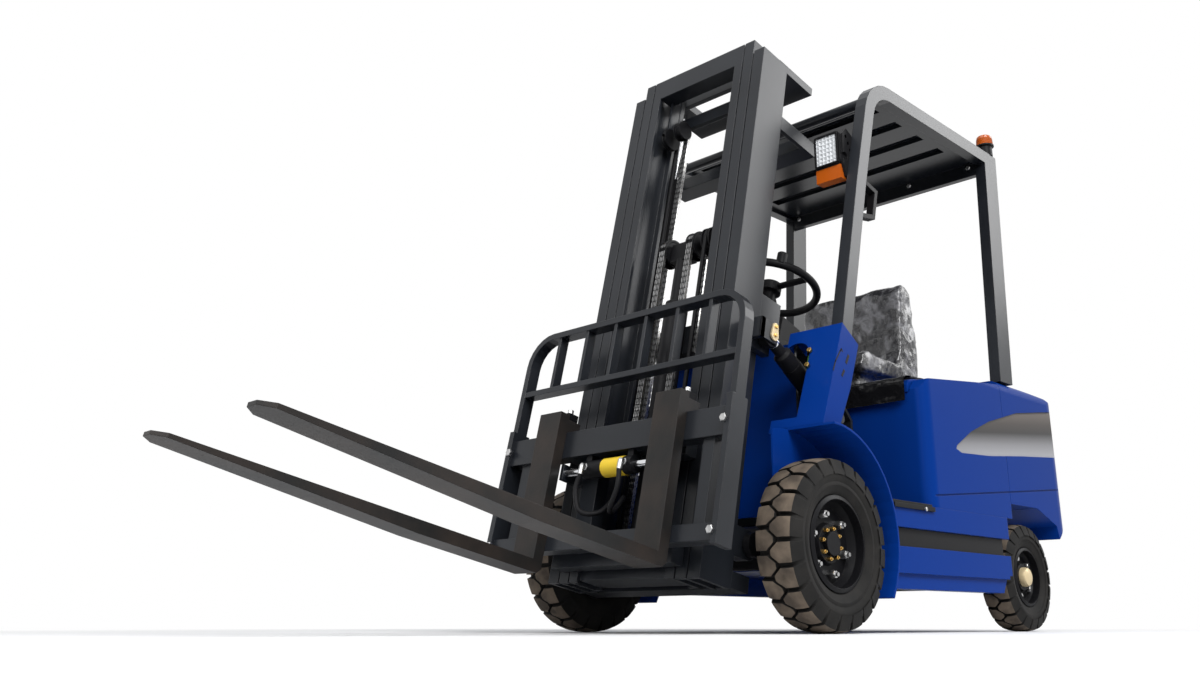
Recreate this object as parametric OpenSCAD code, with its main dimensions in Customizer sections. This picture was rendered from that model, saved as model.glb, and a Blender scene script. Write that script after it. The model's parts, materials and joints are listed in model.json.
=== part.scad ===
// Electric counterbalance forklift with a three stage mast and a side shifting fork frame.
// X points forward, Y to the truck's left and Z up. The origin lies on the ground below the middle.

/* [Wheels] */
// Distance between the front and rear axles
wheelbase = 1283; // [1230:1:1340]
// Outer diameter of a front tyre over its lugs
front_tyre_d = 470; // [450:1:480]
// Width of a front tyre
front_tyre_w = 130; // [110:1:140]
// Diameter of the front rim under the tyre
front_rim_d = 262; // [240:1:290]
// Distance from the truck's middle to the outer face of a front tyre
front_tyre_face = 537; // [525:1:542]
// Outer diameter of a rear tyre over its lugs
rear_tyre_d = 372; // [350:1:380]
// Width of a rear tyre
rear_tyre_w = 110; // [95:1:118]
// Diameter of the rear rim under the tyre
rear_rim_d = 204; // [180:1:226]
// Distance from the truck's middle to the outer face of a rear tyre
rear_tyre_face = 473; // [465:1:480]
// Distance from the truck's middle to a kingpin
kingpin_y = 330; // [322:1:335]

// Number of lugs in each row of a front tyre
front_lugs = 22; // [18:1:24]
// Number of lugs in each row of a rear tyre
rear_lugs = 20; // [16:1:22]
// Depth of a front tyre's lugs
lug_depth = 15; // [10:1:18]

/* [Body] */
// Half width over the rear body's sides
body_half_w = 500; // [492:1:508]
// Half width over the front fenders
fender_half_w = 546; // [543:1:560]
// Distance from the rear axle to the back of the counterweight
rear_overhang = 357; // [330:1:375]
// Distance from the front axle back to the battery box's front face
box_front_back = 580; // [570:1:600]
// Height of the floor plate's top
floor_z = 385; // [378:1:392]
// Height of the hood's front edge
hood_front_z = 806; // [795:1:815]
// Height of the body at the hood's rear edge
body_top_z = 862; // [850:1:872]
// Thickness of the sheet walls
wall_t = 8; // [6:1:10]

/* [Guard] */
// Height of the overhead guard's top
guard_top_z = 1834; // [1820:1:1860]
// Distance of the guard's side frames in from the rear body's sides
guard_inset = 8; // [4:1:14]
// Depth of the guard's side tubes, seen from the side
guard_tube_d = 52; // [46:1:58]
// Width of the guard's side tubes, seen from ahead
guard_tube_w = 42; // [36:1:48]

/* [Mast] */
// Angle of the mast at rest, leaning back
rest_tilt = 12; // [11:0.5:12.5]
// Distance of the mast's pivot ahead of the front axle
pivot_ahead = 116; // [112:1:122]
// Height of the mast's pivot
pivot_z = 235; // [230:1:240]
// Distance from the pivot to the rails' front face
rail_front = 186; // [184:1:190]
// Depth of the outer rails
rail_depth = 131; // [128:1:134]
// Half width over the outer rails
mast_half_w = 301; // [300:1:303]
// Height of the mast's top when it stands upright and lowered
mast_top = 1930; // [1900:1:1960]
// Gap between neighbouring rails
rail_gap = 5; // [5:0.5:6]

/* [Forks] */
// Length of a fork blade ahead of its shank's front face
fork_len = 1124; // [1000:1:1200]
// Width of a fork
fork_w = 96; // [90:1:110]
// Thickness of a fork at its heel
fork_t = 36; // [32:1:40]
// Distance from the truck's middle to a fork's middle
fork_y = 246; // [225:1:260]
// Distance from the mast's pivot to the front face of the fork shanks
fork_face = 345; // [343:1:352]
// Height of the blades' underside when the mast stands upright
fork_bottom = 94; // [90:1:110]
// Height of the backrest's top when the mast stands upright
backrest_top = 885; // [840:1:910]
// Half width over the backrest's posts
backrest_half_w = 462; // [455:1:468]

/* [Hidden] */

$fn = 64;
blue = "#1546a6";
charcoal = "#2b3038";
black = "#17181a";
steel = "#9aa0a6";

// Radial play of pins and rods in their bores
pin_fit = 0.05;
// Play of runners and rests that carry a moving piece
run_gap = 0.3;
// Play between faces that pass each other
face_gap = 6;
// Overlap of solids that are joined
weld = 2;
// Extra depth of a cut beyond the face it opens
through = 10;

front_r = front_tyre_d / 2;
rear_r = rear_tyre_d / 2;
front_wheel_y = front_tyre_face - front_tyre_w / 2;
rear_wheel_y = rear_tyre_face - rear_tyre_w / 2;
rear_axle_x = -wheelbase;
rear_x = -wheelbase - rear_overhang;
box_front_x = -box_front_back;
box_rear_x = rear_axle_x + 153;
box_floor_z = rear_tyre_d + 6;
arch_top_z = rear_tyre_d + 58;

fork_tip_t = 10;
fork_tip_xm = fork_face + fork_len;
fork_tip_zm = fork_bottom + fork_t - fork_tip_t;
fork_tip_x = pivot_ahead + fork_tip_xm * cos(rest_tilt) - (fork_tip_zm - pivot_z) * sin(rest_tilt);
middle_x = (fork_tip_x + rear_x) / 2;

// Rails from the outside in, each a channel in its own band
outer_w = 43;
mid_w = 39;
inner_w = 34;
mid_y = mast_half_w - outer_w - rail_gap;
inner_y = mid_y - mid_w - rail_gap;
inner_in_y = inner_y - inner_w;
rail_rear = rail_front - rail_depth;
rail_t = 13;
rail_foot = 100;
outer_top = mast_top - 50;

// Tilt cylinder between its eye on the mast and its pin in the cowl
tilt_y = 345;
tilt_eye_xm = 60;
tilt_eye_zm = 843;
tilt_slope = 33;
tilt_len = 380;
tilt_eye_x = pivot_ahead + tilt_eye_xm * cos(rest_tilt) - (tilt_eye_zm - pivot_z) * sin(rest_tilt);
tilt_eye_z = pivot_z + (tilt_eye_zm - pivot_z) * cos(rest_tilt) + tilt_eye_xm * sin(rest_tilt);
tilt_pin_x = tilt_eye_x - tilt_len * cos(tilt_slope);
tilt_pin_z = tilt_eye_z - tilt_len * sin(tilt_slope);

// Moves the front axle's frame to the part's own origin
module placed() { translate([-middle_x, 0, 0]) children(); }

// Leans the mast's upright frame back about its pivot
module on_mast() {
  placed() translate([pivot_ahead, 0, pivot_z]) rotate([0, -rest_tilt, 0])
    translate([0, 0, -pivot_z]) children();
}

// A box between two corners
module block(lo, hi) { translate(lo) cube(hi - lo); }

// A side outline in X and Z, given a width in Y
module side_slab(y_lo, y_hi) {
  translate([0, y_hi, 0]) rotate([90, 0, 0]) linear_extrude(y_hi - y_lo) children();
}

// A flat outline in Y and Z, given a depth in X
module front_slab(x_lo, x_hi) {
  translate([x_lo, 0, 0]) rotate([90, 0, 90]) linear_extrude(x_hi - x_lo) children();
}

// A round bar along Y
module bar_y(x, z, r, y_lo, y_hi) {
  translate([x, y_hi, z]) rotate([90, 0, 0]) cylinder(r = r, h = y_hi - y_lo);
}

// The same on both sides of the truck
module both_sides() {
  children();
  mirror([0, 1, 0]) children();
}

// Points beside a row of points, at an even distance and mitred at the bends
function unit(v) = v / norm(v);
function left_of(v) = [-v[1], v[0]];
function beside(points, d) = [for (i = [0 : len(points) - 1])
  let (before = left_of(unit(points[max(i, 1)] - points[max(i, 1) - 1])),
    after = left_of(unit(points[min(i, len(points) - 2) + 1] - points[min(i, len(points) - 2)])))
  points[i] + d * (before + after) / (1 + before * after)];
function reversed(points) = [for (i = [len(points) - 1 : -1 : 0]) points[i]];

// A strip of even width along a row of points
module strip(points, w) { polygon(concat(beside(points, w / 2), reversed(beside(points, -w / 2)))); }

// Points on an arc
function arc(c, r, from, to, steps) =
  [for (i = [0 : steps]) c + r * [cos(from + (to - from) * i / steps), sin(from + (to - from) * i / steps)]];

// Chassis

sill_in = body_half_w - 60;
sill_front_x = -335;
sill_rear_x = rear_axle_x + 216;
skin_rear_x = rear_axle_x + 195;
skin_in = body_half_w - 16;
step_bottom = 248;
step_top = 305;
sill_bottom = 125;
sill_bend = 172;
pan_z = 190;
pan_t = 30;
spine_w = 150;
spine_lift = 104;
spine_top = rear_r + 234;
spine_z = rear_r + spine_lift;
deck_z = floor_z - 15;

module sill_side() {
  side_slab(sill_in, body_half_w - 12) polygon([
    [sill_front_x, sill_bend], [sill_front_x + 40, sill_bottom],
    [sill_rear_x + 30, sill_bottom], [sill_rear_x, sill_bend]]);
  block([sill_rear_x, sill_in, sill_bend - weld], [sill_front_x, body_half_w, step_bottom]);
  block([sill_rear_x, sill_in, step_bottom - weld], [sill_front_x, sill_in + 20, step_top + weld]);
  block([box_front_x + weld, sill_in, step_top], [sill_front_x, body_half_w, deck_z]);
  block([sill_rear_x, sill_in, step_top], [box_front_x + 2 * weld, body_half_w, box_floor_z]);
  block([skin_rear_x, skin_in, sill_bend + 10], [sill_rear_x + weld, body_half_w, step_bottom]);
  block([skin_rear_x, skin_in, step_top], [sill_rear_x + weld, body_half_w, box_floor_z]);
}

module frame() {
  color(blue) placed() {
    both_sides() sill_side();
    block([sill_front_x - 260, -sill_in - weld, pan_z], [sill_front_x, sill_in + weld, pan_z + pan_t]);
    block([rear_axle_x + 240, -sill_in - weld, pan_z], [sill_front_x - 250, sill_in + weld, pan_z + pan_t]);
    block([rear_axle_x - 110, -spine_w, spine_z], [rear_axle_x + 250, spine_w, box_floor_z]);
    block([rear_axle_x - 110, -spine_w, 300], [box_rear_x - 4, spine_w, spine_top]);
    block([rear_axle_x + 235, -spine_w, pan_z + weld], [rear_axle_x + 250, spine_w, box_floor_z]);
    both_sides() block([sill_front_x - 5, 352, 150], [-75, 376, 330]);
    both_sides() block([sill_front_x - 5, 352, 150], [sill_front_x + 12, sill_in + weld, 330]);
  }
}

module side_steps() {
  color(black) placed() both_sides() {
    block([sill_rear_x + 6, sill_in + 20, step_bottom], [sill_front_x, body_half_w - 14, step_top]);
    block([box_front_x + 4, body_half_w, deck_z - 8], [sill_front_x, body_half_w + 8, deck_z + 6]);
  }
}

arch_c = [26, 258];
arch_r = 302;
fender_t = 7;
fender_in = 384;
wall_in = 377;
cowl_in = 306;
// Round topped port where the tilt cylinder leaves the cowl
port_r = 54;
port_z = 796;
cowl_front = [[12, 560], [-118, 891]];
cowl_rear = [[-199, 836], [-140, 690], [-70, 560]];

module fender_outline() {
  polygon(concat(arc(arch_c, arch_r, 91, 212, 16), arc(arch_c, arch_r + fender_t, 212, 91, 16)));
}

// The wheel house's inner wall, below the arch and above the axle
module wall_outline() {
  intersection() {
    translate(arch_c) circle(r = arch_r + fender_t / 2);
    translate([arch_c[0] - arch_r - fender_t, front_r + 102]) square([arch_r + fender_t + 70, arch_r]);
  }
}

module cowl_outline(inset) {
  polygon([
    cowl_front[0] + [-inset, 0], cowl_front[1] + [-0.6 * inset, -1.4 * inset],
    cowl_rear[0] + [inset, 0], cowl_rear[1] + [inset, 0], cowl_rear[2] + [inset, 0]]);
}

module fender() {
  color(blue) placed() {
    side_slab(fender_in - weld, fender_half_w) fender_outline();
    side_slab(wall_in, fender_in) wall_outline();
    difference() {
      side_slab(cowl_in, body_half_w) cowl_outline(0);
      side_slab(cowl_in - through, body_half_w - wall_t) cowl_outline(wall_t);
      block([-230, tilt_y - port_r, 600], [60, tilt_y + port_r, port_z]);
      translate([-230, tilt_y, port_z]) rotate([0, 90, 0]) cylinder(r = port_r, h = 290);
    }
    block([-70, cowl_in, arch_c[1] + arch_r], [10, body_half_w, 572]);
    block([-316, 376, 262], [-276, fender_half_w - 40, 330]);
  }
}

module fender_left() { fender(); }
module fender_right() { mirror([0, 1, 0]) fender(); }

panel_y = cowl_in - 1;
panel_t = 10;
panel_top = 860;
module panel_outline() {
  strip([[-142, 550], [-142, panel_top], [-240, panel_top], [-440, panel_top - 200], [-440, floor_z - 40]],
    panel_t);
}

module front_panel() {
  color(charcoal) placed() {
    side_slab(-panel_y, panel_y) panel_outline();
    block([-147, -panel_y, 340], [-137, panel_y, 562]);
    both_sides() block([-330, 300, 330], [-137, panel_y, 562]);
    both_sides() block([-320, 300, 330], [-150, 372, 338]);
    both_sides() bar_y(tilt_pin_x, tilt_pin_z, 16, panel_y - 30, tilt_y + 34);
    both_sides() block([tilt_pin_x - 30, panel_y - 12, 550], [tilt_pin_x + 30, panel_y, tilt_pin_z + 24]);
  }
}

module floor_plate() {
  color(black) placed() difference() {
    block([box_front_x + 5, -body_half_w + 2, deck_z], [sill_front_x - 5, body_half_w - 2, floor_z]);
    block([-455, -panel_y - 6, deck_z - through], [sill_front_x, panel_y + 6, floor_z + through]);
  }
}

module box_outline() {
  polygon([
    [box_front_x, box_floor_z], [box_rear_x, box_floor_z], [box_rear_x, body_top_z],
    [box_front_x - 30, hood_front_z - 6], [box_front_x, hood_front_z - 40]]);
}

hood_side = body_half_w - 60;
corner_r = 115;
hood_depth = 48;
edge_r = 42;
// The rear body's outline from above, round at its front and rear corners
module body_plan() {
  for (end = [[box_front_x - edge_r, edge_r], [rear_x + corner_r, corner_r]])
    for (side = [-1, 1]) translate([end[0], side * (body_half_w - end[1])]) circle(r = end[1]);
  translate([rear_x + corner_r, -body_half_w])
    square([box_front_x - edge_r - rear_x - corner_r, 2 * body_half_w]);
  translate([rear_x, -body_half_w + corner_r]) square([corner_r, 2 * (body_half_w - corner_r)]);
  translate([box_front_x - edge_r, -body_half_w + edge_r]) square([edge_r, 2 * (body_half_w - edge_r)]);
}

// The rear body's outline from behind, round at its upper edges
module body_section() {
  top = cw_top_z;
  for (side = [-1, 1]) translate([side * (body_half_w - edge_r), top - edge_r]) circle(r = edge_r);
  translate([-body_half_w, 200]) square([2 * body_half_w, top - edge_r - 200]);
  translate([-body_half_w + edge_r, 200]) square([2 * (body_half_w - edge_r), top - 200]);
}

module body_form() {
  intersection() {
    translate([0, 0, 200]) linear_extrude(800) body_plan();
    front_slab(rear_x - through, box_front_x + through) body_section();
  }
}

// The sweep let into each side, from a blunt tip to the back
sweep_d = 14;
inlay_t = 8;
module sweep_outline() {
  polygon([
    [-770, 596], [-765, 584], [-800, 574], [-1000, 585], [-1250, 611], [rear_x - 20, 648],
    [rear_x - 20, 830], [-1480, 806], [-1250, 771], [-1020, 709], [-880, 656]]);
}

// A fine groove along each side
module seam_outline() { strip([[box_front_x + 20, 412], [rear_x - 20, 526]], 5); }

module side_cuts() {
  both_sides() {
    side_slab(body_half_w - sweep_d, body_half_w + through) sweep_outline();
    side_slab(body_half_w - 4, body_half_w + through) seam_outline();
  }
}

module side_inlays() {
  color("#2a2c30") placed() both_sides() intersection() {
    side_slab(body_half_w - sweep_d, body_half_w - sweep_d + inlay_t) sweep_outline();
    body_form();
    block([rear_x, 0, 0], [box_front_x, body_half_w, 2000]);
  }
}

module battery_box() {
  color(blue) placed() difference() {
    intersection() {
      side_slab(-body_half_w, body_half_w) box_outline();
      body_form();
    }
    side_cuts();
    block([box_rear_x - through, -hood_side + 30, box_floor_z + 12], [box_front_x - 14, hood_side - 30, 900]);
    block([box_rear_x - through, -hood_side - 4, hood_front_z - hood_depth - run_gap],
      [box_front_x + through, hood_side + 4, 960]);
    block([box_rear_x - through, -sill_in - 20, 440], [box_rear_x + 14, sill_in + 20, 900]);
  }
}

module battery() {
  color(charcoal) placed()
    block([box_rear_x + 20, -hood_side + 70, box_floor_z + 12], [box_front_x - 60, hood_side - 70, 715]);
}

tow_in = 75;
tow_r = 15;
tow_half_w = 70;
// Heights of the tow pin's lower and upper pockets
tow_pockets = [[530, 600], [660, 760]];
// Tail lamps let into the counterweight's back
tail_lo = [rear_x + 34, 262, 688];
tail_hi = [rear_x + 74, 372, 742];
module counterweight() {
  color(blue) placed() difference() {
    intersection() {
      side_slab(-body_half_w, body_half_w) polygon([
        [box_rear_x - 2, 300], [rear_axle_x - 60, 300], [rear_axle_x - 180, 290],
        [rear_x + 40, 395], [rear_x + 6, 460], [rear_x, 520], [rear_x + 22, 610], [rear_x + 48, 680],
        [rear_x + 52, 745], [rear_x + 40, 800], [rear_x + 62, 842], [rear_x + 110, 866],
        [box_rear_x - 120, cw_top_z], [box_rear_x - 2, cw_top_z]]);
      body_form();
    }
    side_cuts();
    both_sides() side_slab(180, body_half_w + through) polygon([
      [box_rear_x + through, 250], [box_rear_x + through, arch_top_z], [rear_axle_x - 60, arch_top_z],
      [rear_axle_x - 215, arch_top_z - 55], [rear_axle_x - 255, 250]]);
    block([rear_axle_x - 112, -190, 250], [box_rear_x + through, 190, spine_top]);
    for (z = tow_pockets) block([rear_x - through, -tow_half_w, z[0]], [rear_x + 120, tow_half_w, z[1]]);
    both_sides() block([rear_x - through, tail_lo[1], tail_lo[2]], tail_hi);
    translate([rear_x + tow_in, 0, 440]) cylinder(r = tow_r + pin_fit, h = tow_pockets[1][0] - 430);
  }
}

module tow_pin() {
  color(steel) placed() translate([rear_x + tow_in, 0, 0]) {
    translate([0, 0, 450]) cylinder(r = tow_r, h = tow_pockets[1][0] - 440);
    translate([0, 0, tow_pockets[1][0]]) cylinder(r = 24, h = 14);
    translate([-8, -30, tow_pockets[1][0] + 12]) cube([16, 60, 16]);
  }
}

spindle_r = 32;
module drive_axle() {
  color(black) placed() {
    bar_y(0, front_r, 62, -front_wheel_y + 72, front_wheel_y - 72);
    both_sides() bar_y(0, front_r, 95, front_wheel_y - 94, front_wheel_y - 72);
    both_sides() bar_y(0, front_r, spindle_r, front_wheel_y - 80, front_tyre_face - 28);
    bar_y(-20, front_r, 92, -140, 60);
    both_sides() {
      block([-330, 326, 170], [-40, 350, 320]);
      block([0, 308, pivot_z - 34], [pivot_ahead, 330, pivot_z + 34]);
      bar_y(pivot_ahead, pivot_z, 34, 308, 330);
      bar_y(pivot_ahead, pivot_z, 22, mast_half_w - outer_w, 320);
    }
  }
}

kingpin_r = 16;
module steer_axle() {
  color(black) placed() translate([rear_axle_x, 0, rear_r]) {
    block([-45, -270, -38], [45, 270, 38]);
    block([-60, -90, -30], [60, 90, spine_lift]);
    both_sides() difference() {
      union() {
        translate([0, kingpin_y, -38]) cylinder(r = 30, h = 76);
        block([-30, 262, -38], [30, kingpin_y, 38]);
      }
      translate([0, kingpin_y, -60]) cylinder(r = kingpin_r + pin_fit, h = 120);
    }
  }
}

// Overhead guard, dash and lamps

guard_half_w = body_half_w - guard_inset;
guard_in = guard_half_w - guard_tube_w;
rail_z = guard_top_z - guard_tube_d / 2;
bend_r = 141;
bend_c = [-511, rail_z - bend_r];
leg_lean = 16;
leg_foot = [-146, 840];
leg_knee = [-290, 1403];
rear_leg_d = 96;
rear_leg_top = [-1276, rail_z];
rear_leg_foot = [-1212, 850];
cw_top_z = 880;

module guard_side() {
  color(charcoal) placed() difference() {
    side_slab(guard_in, guard_half_w) {
      strip(concat([leg_foot, leg_knee], arc(bend_c, bend_r, leg_lean, 90, 6), [rear_leg_top]), guard_tube_d);
      strip([rear_leg_top + [0, guard_tube_d / 2], rear_leg_foot], rear_leg_d);
    }
    side_slab(guard_in - through, guard_half_w + through) cowl_outline(0);
    block([rear_x, guard_in - through, guard_top_z], [0, guard_half_w + through, guard_top_z + 100]);
    block([rear_x, guard_in - through, 500], [box_front_x, guard_half_w + through, cw_top_z]);
    block([-120, guard_in - through, 500], [60, guard_half_w + through, cowl_front[1][1]]);
    block([-400, guard_in - through, 500], [cowl_rear[0][0] + 4, guard_half_w + through, 842]);
  }
}

module guard_left() { guard_side(); }
module guard_right() { mirror([0, 1, 0]) guard_side(); }

roof_front_x = -520;
roof_rear_x = rear_leg_top[0] + rear_leg_d / 2;
roof_ribs = 4;
roof_t = 5;
rib_h = 24;
// The roof is one sheet with hollow ribs pressed up out of it, and a deep bar across its rear edge
module guard_roof() {
  pitch = (roof_front_x - roof_rear_x) / (roof_ribs + 0.5);
  rib_w = 0.4 * pitch;
  first = roof_rear_x + 1.08 * pitch;
  rib_len = guard_in - 62;
  color(charcoal) placed() {
    difference() {
      union() {
        block([roof_rear_x, -guard_in, rail_z - 12], [roof_front_x, guard_in, rail_z - 12 + roof_t]);
        for (i = [0 : roof_ribs - 1]) both_sides()
          translate([first + i * pitch, 24, rail_z - 12]) cube([rib_w, rib_len, rib_h]);
      }
      for (i = [0 : roof_ribs - 1]) both_sides()
        translate([first + i * pitch + roof_t, 24 + roof_t, rail_z - 12 - through])
          cube([rib_w - 2 * roof_t, rib_len - 2 * roof_t, rib_h + through - roof_t]);
    }
    bar_y(bend_c[0] + bend_r * cos(35), bend_c[1] + bend_r * sin(35), 18, -guard_in, guard_in);
    block([roof_rear_x - 26, -guard_in, rail_z - 66], [roof_rear_x + weld, guard_in, rail_z + 20]);
  }
}

shelf_z = panel_top + 36;
column_foot = [-300, 0, 800];
column_lean = 19;
column_len = 400;
module on_column() { placed() translate(column_foot) rotate([0, -column_lean, 0]) children(); }

module dash() {
  color(black) {
    difference() {
      on_column() translate([0, 0, 5]) cylinder(r = 36, h = 245);
      placed() side_slab(-panel_y, panel_y) panel_outline();
      placed() block([-420, -100, 600], [-250, 100, 780]);
    }
    on_column() {
      translate([0, 0, 240]) cylinder(r = 24, h = column_len - 260 - run_gap);
      translate([-60, -120, 118]) cube([100, 240, 112]);
    }
    placed() block([-236, -230, panel_top + panel_t / 2], [-160, 230, shelf_z]);
    placed() block([-236, -60, shelf_z - weld], [-200, 60, 960]);
  }
}

module lever(y, lean) {
  translate([-232, y, shelf_z]) rotate([0, lean, 0]) {
    translate([0, 0, 2]) cylinder(r = 6, h = 150);
    translate([0, 0, 150]) sphere(r = 17);
  }
}

module controls() {
  color(black) placed() {
    for (i = [0 : 3]) lever(-86 - 38 * i, -14);
    for (y = [-215, -120, 60]) {
      translate([-350, y, 750]) rotate([0, -45, 0]) translate([-16, 0, 12]) cube([90, 62, 8]);
      translate([-350, y + 25, 750]) rotate([0, -45, 0]) translate([0, 0, 5]) cube([14, 12, 8]);
    }
  }
}

lamp_half_w = 51;
bracket_t = 8;
lamp_y = guard_in - bracket_t - lamp_half_w;
lamp_z = 1476;
lamp_h = 122;
lamp_x = -292;
lamp_d = 42;
bracket_lamp_hole = [-268, lamp_z + 30];
// A work lamp with a round edged housing, held to the front leg by a pierced plate
module lamp_face() {
  edge = 16;
  for (y = [-1, 1], z = [edge, lamp_h - edge])
    translate([lamp_y + y * (lamp_half_w - edge), lamp_z + z]) circle(r = edge);
  translate([lamp_y - lamp_half_w, lamp_z + edge]) square([2 * lamp_half_w, lamp_h - 2 * edge]);
  translate([lamp_y - lamp_half_w + edge, lamp_z]) square([2 * (lamp_half_w - edge), lamp_h]);
}

module bracket_outline() {
  difference() {
    polygon([
      [-258, lamp_z + 110], [-282, lamp_z + 136], [-352, lamp_z + 96], [-336, lamp_z + 20],
      [-300, lamp_z - 46], [-272, lamp_z - 40], [-258, lamp_z]]);
    for (i = [0 : 2]) translate([-278 - 12 * i, lamp_z + 104 - 22 * i]) circle(r = 7);
    translate(bracket_lamp_hole) circle(r = 14);
  }
}

module head_lamps() {
  color(black) placed() both_sides() {
    front_slab(lamp_x, lamp_x + lamp_d) lamp_face();
    side_slab(guard_in - bracket_t - weld, guard_in) bracket_outline();
  }
}

module signal_lamps() {
  color("#d06a10") placed() both_sides()
    block([lamp_x + 2, lamp_y - 48, lamp_z - 48], [lamp_x + lamp_d - 2, lamp_y + 48, lamp_z]);
}

module tail_lamps() {
  color("#a01818") placed() both_sides()
    block(tail_lo, tail_hi);
}

beacon_x = rear_leg_top[0] - 14;
module beacon() {
  color("#e06010") placed() translate([beacon_x, guard_half_w - guard_tube_w / 2 - 3, guard_top_z]) {
    cylinder(r = 28, h = 42);
    translate([0, 0, 42 - weld]) cylinder(r = 36, h = 6);
    translate([0, 0, 48 - weld]) cylinder(r1 = 34, r2 = 31, h = 44);
  }
}

module grab_handle() {
  color(black) placed() both_sides() side_slab(guard_in + 8, guard_half_w - 8)
    difference() {
      strip([[-262, 1288], [-366, 1306], [-392, 1404], [-290, 1432]], 16);
      strip([leg_foot, leg_knee, bend_c + bend_r * [cos(leg_lean), sin(leg_lean)]], guard_tube_d);
    }
}

// Wheels

// Turn of the tyres at which each stands on a lug of either row
lug_turn = 90;
// Sets a wheel, made about Z with its outer side up, at its place on the left
module wheel_place(x, y, z) { placed() translate([x, y, z]) rotate([-90, 0, 0]) rotate(lug_turn) children(); }

// A tyre's carcass below its lugs
module tyre_outline(r, rim_r, w) {
  shoulder = 0.10 * w;
  polygon([
    [rim_r, -0.36 * w], [rim_r + 12, -0.42 * w], [r - 2.4 * shoulder, -w / 2], [r - 1.4 * shoulder, -w / 2],
    [r, -w / 2 + shoulder], [r, w / 2 - shoulder], [r - 1.4 * shoulder, w / 2], [r - 2.4 * shoulder, w / 2],
    [rim_r + 12, 0.42 * w], [rim_r, 0.36 * w]]);
}

lug_sink = 4;
// One tread block with a blunt tip, pointing from its shoulder past the tread's middle
module lug(r, w, pitch, depth) {
  half = 0.42 * pitch;
  translate([r - depth - lug_sink, 0, 0]) rotate([90, 0, 90]) linear_extrude(depth + lug_sink) polygon([
    [-half, 0.43 * w], [-half, 0.06 * w], [-0.4 * half, -0.10 * w],
    [0.4 * half, -0.10 * w], [half, 0.06 * w], [half, 0.43 * w]]);
}

// A tyre with two rows of staggered lugs, its axle along Z
module tyre(r, rim_r, w, lugs, depth) {
  flat = r * cos(0.42 * 360 / lugs);
  rotate_extrude($fn = 96) tyre_outline(flat - depth, rim_r, w);
  for (i = [0 : lugs - 1]) {
    rotate(i * 360 / lugs) lug(flat, w, 2 * PI * r / lugs, depth);
    rotate((i + 0.5) * 360 / lugs) mirror([0, 0, 1]) lug(flat, w, 2 * PI * r / lugs, depth);
  }
}

// Positive Y of the outline is the wheel's outer side
module front_rim_outline() {
  rim_r = front_rim_d / 2;
  rim_in = rim_r - 12;
  polygon([
    [spindle_r + pin_fit, 24], [spindle_r + pin_fit, -40], [86, -40], [86, -6], [rim_in, -6],
    [rim_in, -0.42 * front_tyre_w], [rim_r, -0.42 * front_tyre_w], [rim_r, 0.40 * front_tyre_w],
    [rim_in, 0.44 * front_tyre_w], [rim_in, 30], [rim_in - 12, 8], [58, 8], [52, 24]]);
}

rear_spindle_r = 20;
module rear_rim_outline() {
  rim_r = rear_rim_d / 2;
  rim_in = rim_r - 10;
  polygon([
    [rear_spindle_r + pin_fit, 28], [rear_spindle_r + pin_fit, -14], [48, -14], [48, 2], [rim_in, 2],
    [rim_in, -0.40 * rear_tyre_w], [rim_r, -0.40 * rear_tyre_w], [rim_r, 0.40 * rear_tyre_w],
    [rim_in, 0.44 * rear_tyre_w], [rim_in, 22], [rim_in - 8, 11], [52, 11], [46, 28]]);
}

module front_tyre() {
  color(black) wheel_place(0, front_wheel_y, front_r)
    tyre(front_r, front_rim_d / 2, front_tyre_w, front_lugs, lug_depth);
}
module front_rim() {
  color(black) wheel_place(0, front_wheel_y, front_r) rotate_extrude($fn = 96) front_rim_outline();
}
module rear_tyre() {
  color(black) wheel_place(rear_axle_x, rear_wheel_y, rear_r)
    tyre(rear_r, rear_rim_d / 2, rear_tyre_w, rear_lugs, 0.8 * lug_depth);
}
module rear_rim() {
  color(black) wheel_place(rear_axle_x, rear_wheel_y, rear_r) rotate_extrude($fn = 96) rear_rim_outline();
}

module front_tyre_left() { front_tyre(); }
module front_rim_left() { front_rim(); }
module front_tyre_right() { mirror([0, 1, 0]) front_tyre(); }
module front_rim_right() { mirror([0, 1, 0]) front_rim(); }
module rear_tyre_left() { rear_tyre(); }
module rear_rim_left() { rear_rim(); }
module rear_tyre_right() { mirror([0, 1, 0]) rear_tyre(); }
module rear_rim_right() { mirror([0, 1, 0]) rear_rim(); }

module knuckle() {
  color(black) placed() translate([rear_axle_x, 0, rear_r]) {
    translate([0, kingpin_y, -62]) cylinder(r = kingpin_r, h = 124);
    for (z = [-62, 44]) {
      translate([0, kingpin_y, z]) cylinder(r = 28, h = 18);
      translate([-28, kingpin_y, z]) cube([56, 58, 18]);
    }
    translate([-28, kingpin_y + 42, -62]) cube([56, 16, 124]);
    bar_y(0, 0, rear_spindle_r, kingpin_y + 50, rear_wheel_y + 34);
  }
}
module knuckle_left() { knuckle(); }
module knuckle_right() { mirror([0, 1, 0]) knuckle(); }

wheel_ring_r = 168;
module steering_wheel() {
  color(black) on_column() translate([0, 0, column_len]) {
    rotate_extrude() translate([wheel_ring_r, 0]) circle(r = 14);
    translate([0, 0, -20]) cylinder(r = 40, h = 34);
    for (a = [90, 210, 330]) rotate(a) translate([30, -12, -6]) cube([wheel_ring_r - 30, 24, 10]);
    translate([110, 126, 0]) cylinder(r = 18, h = 44);
  }
}

// Hood and seat

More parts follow.
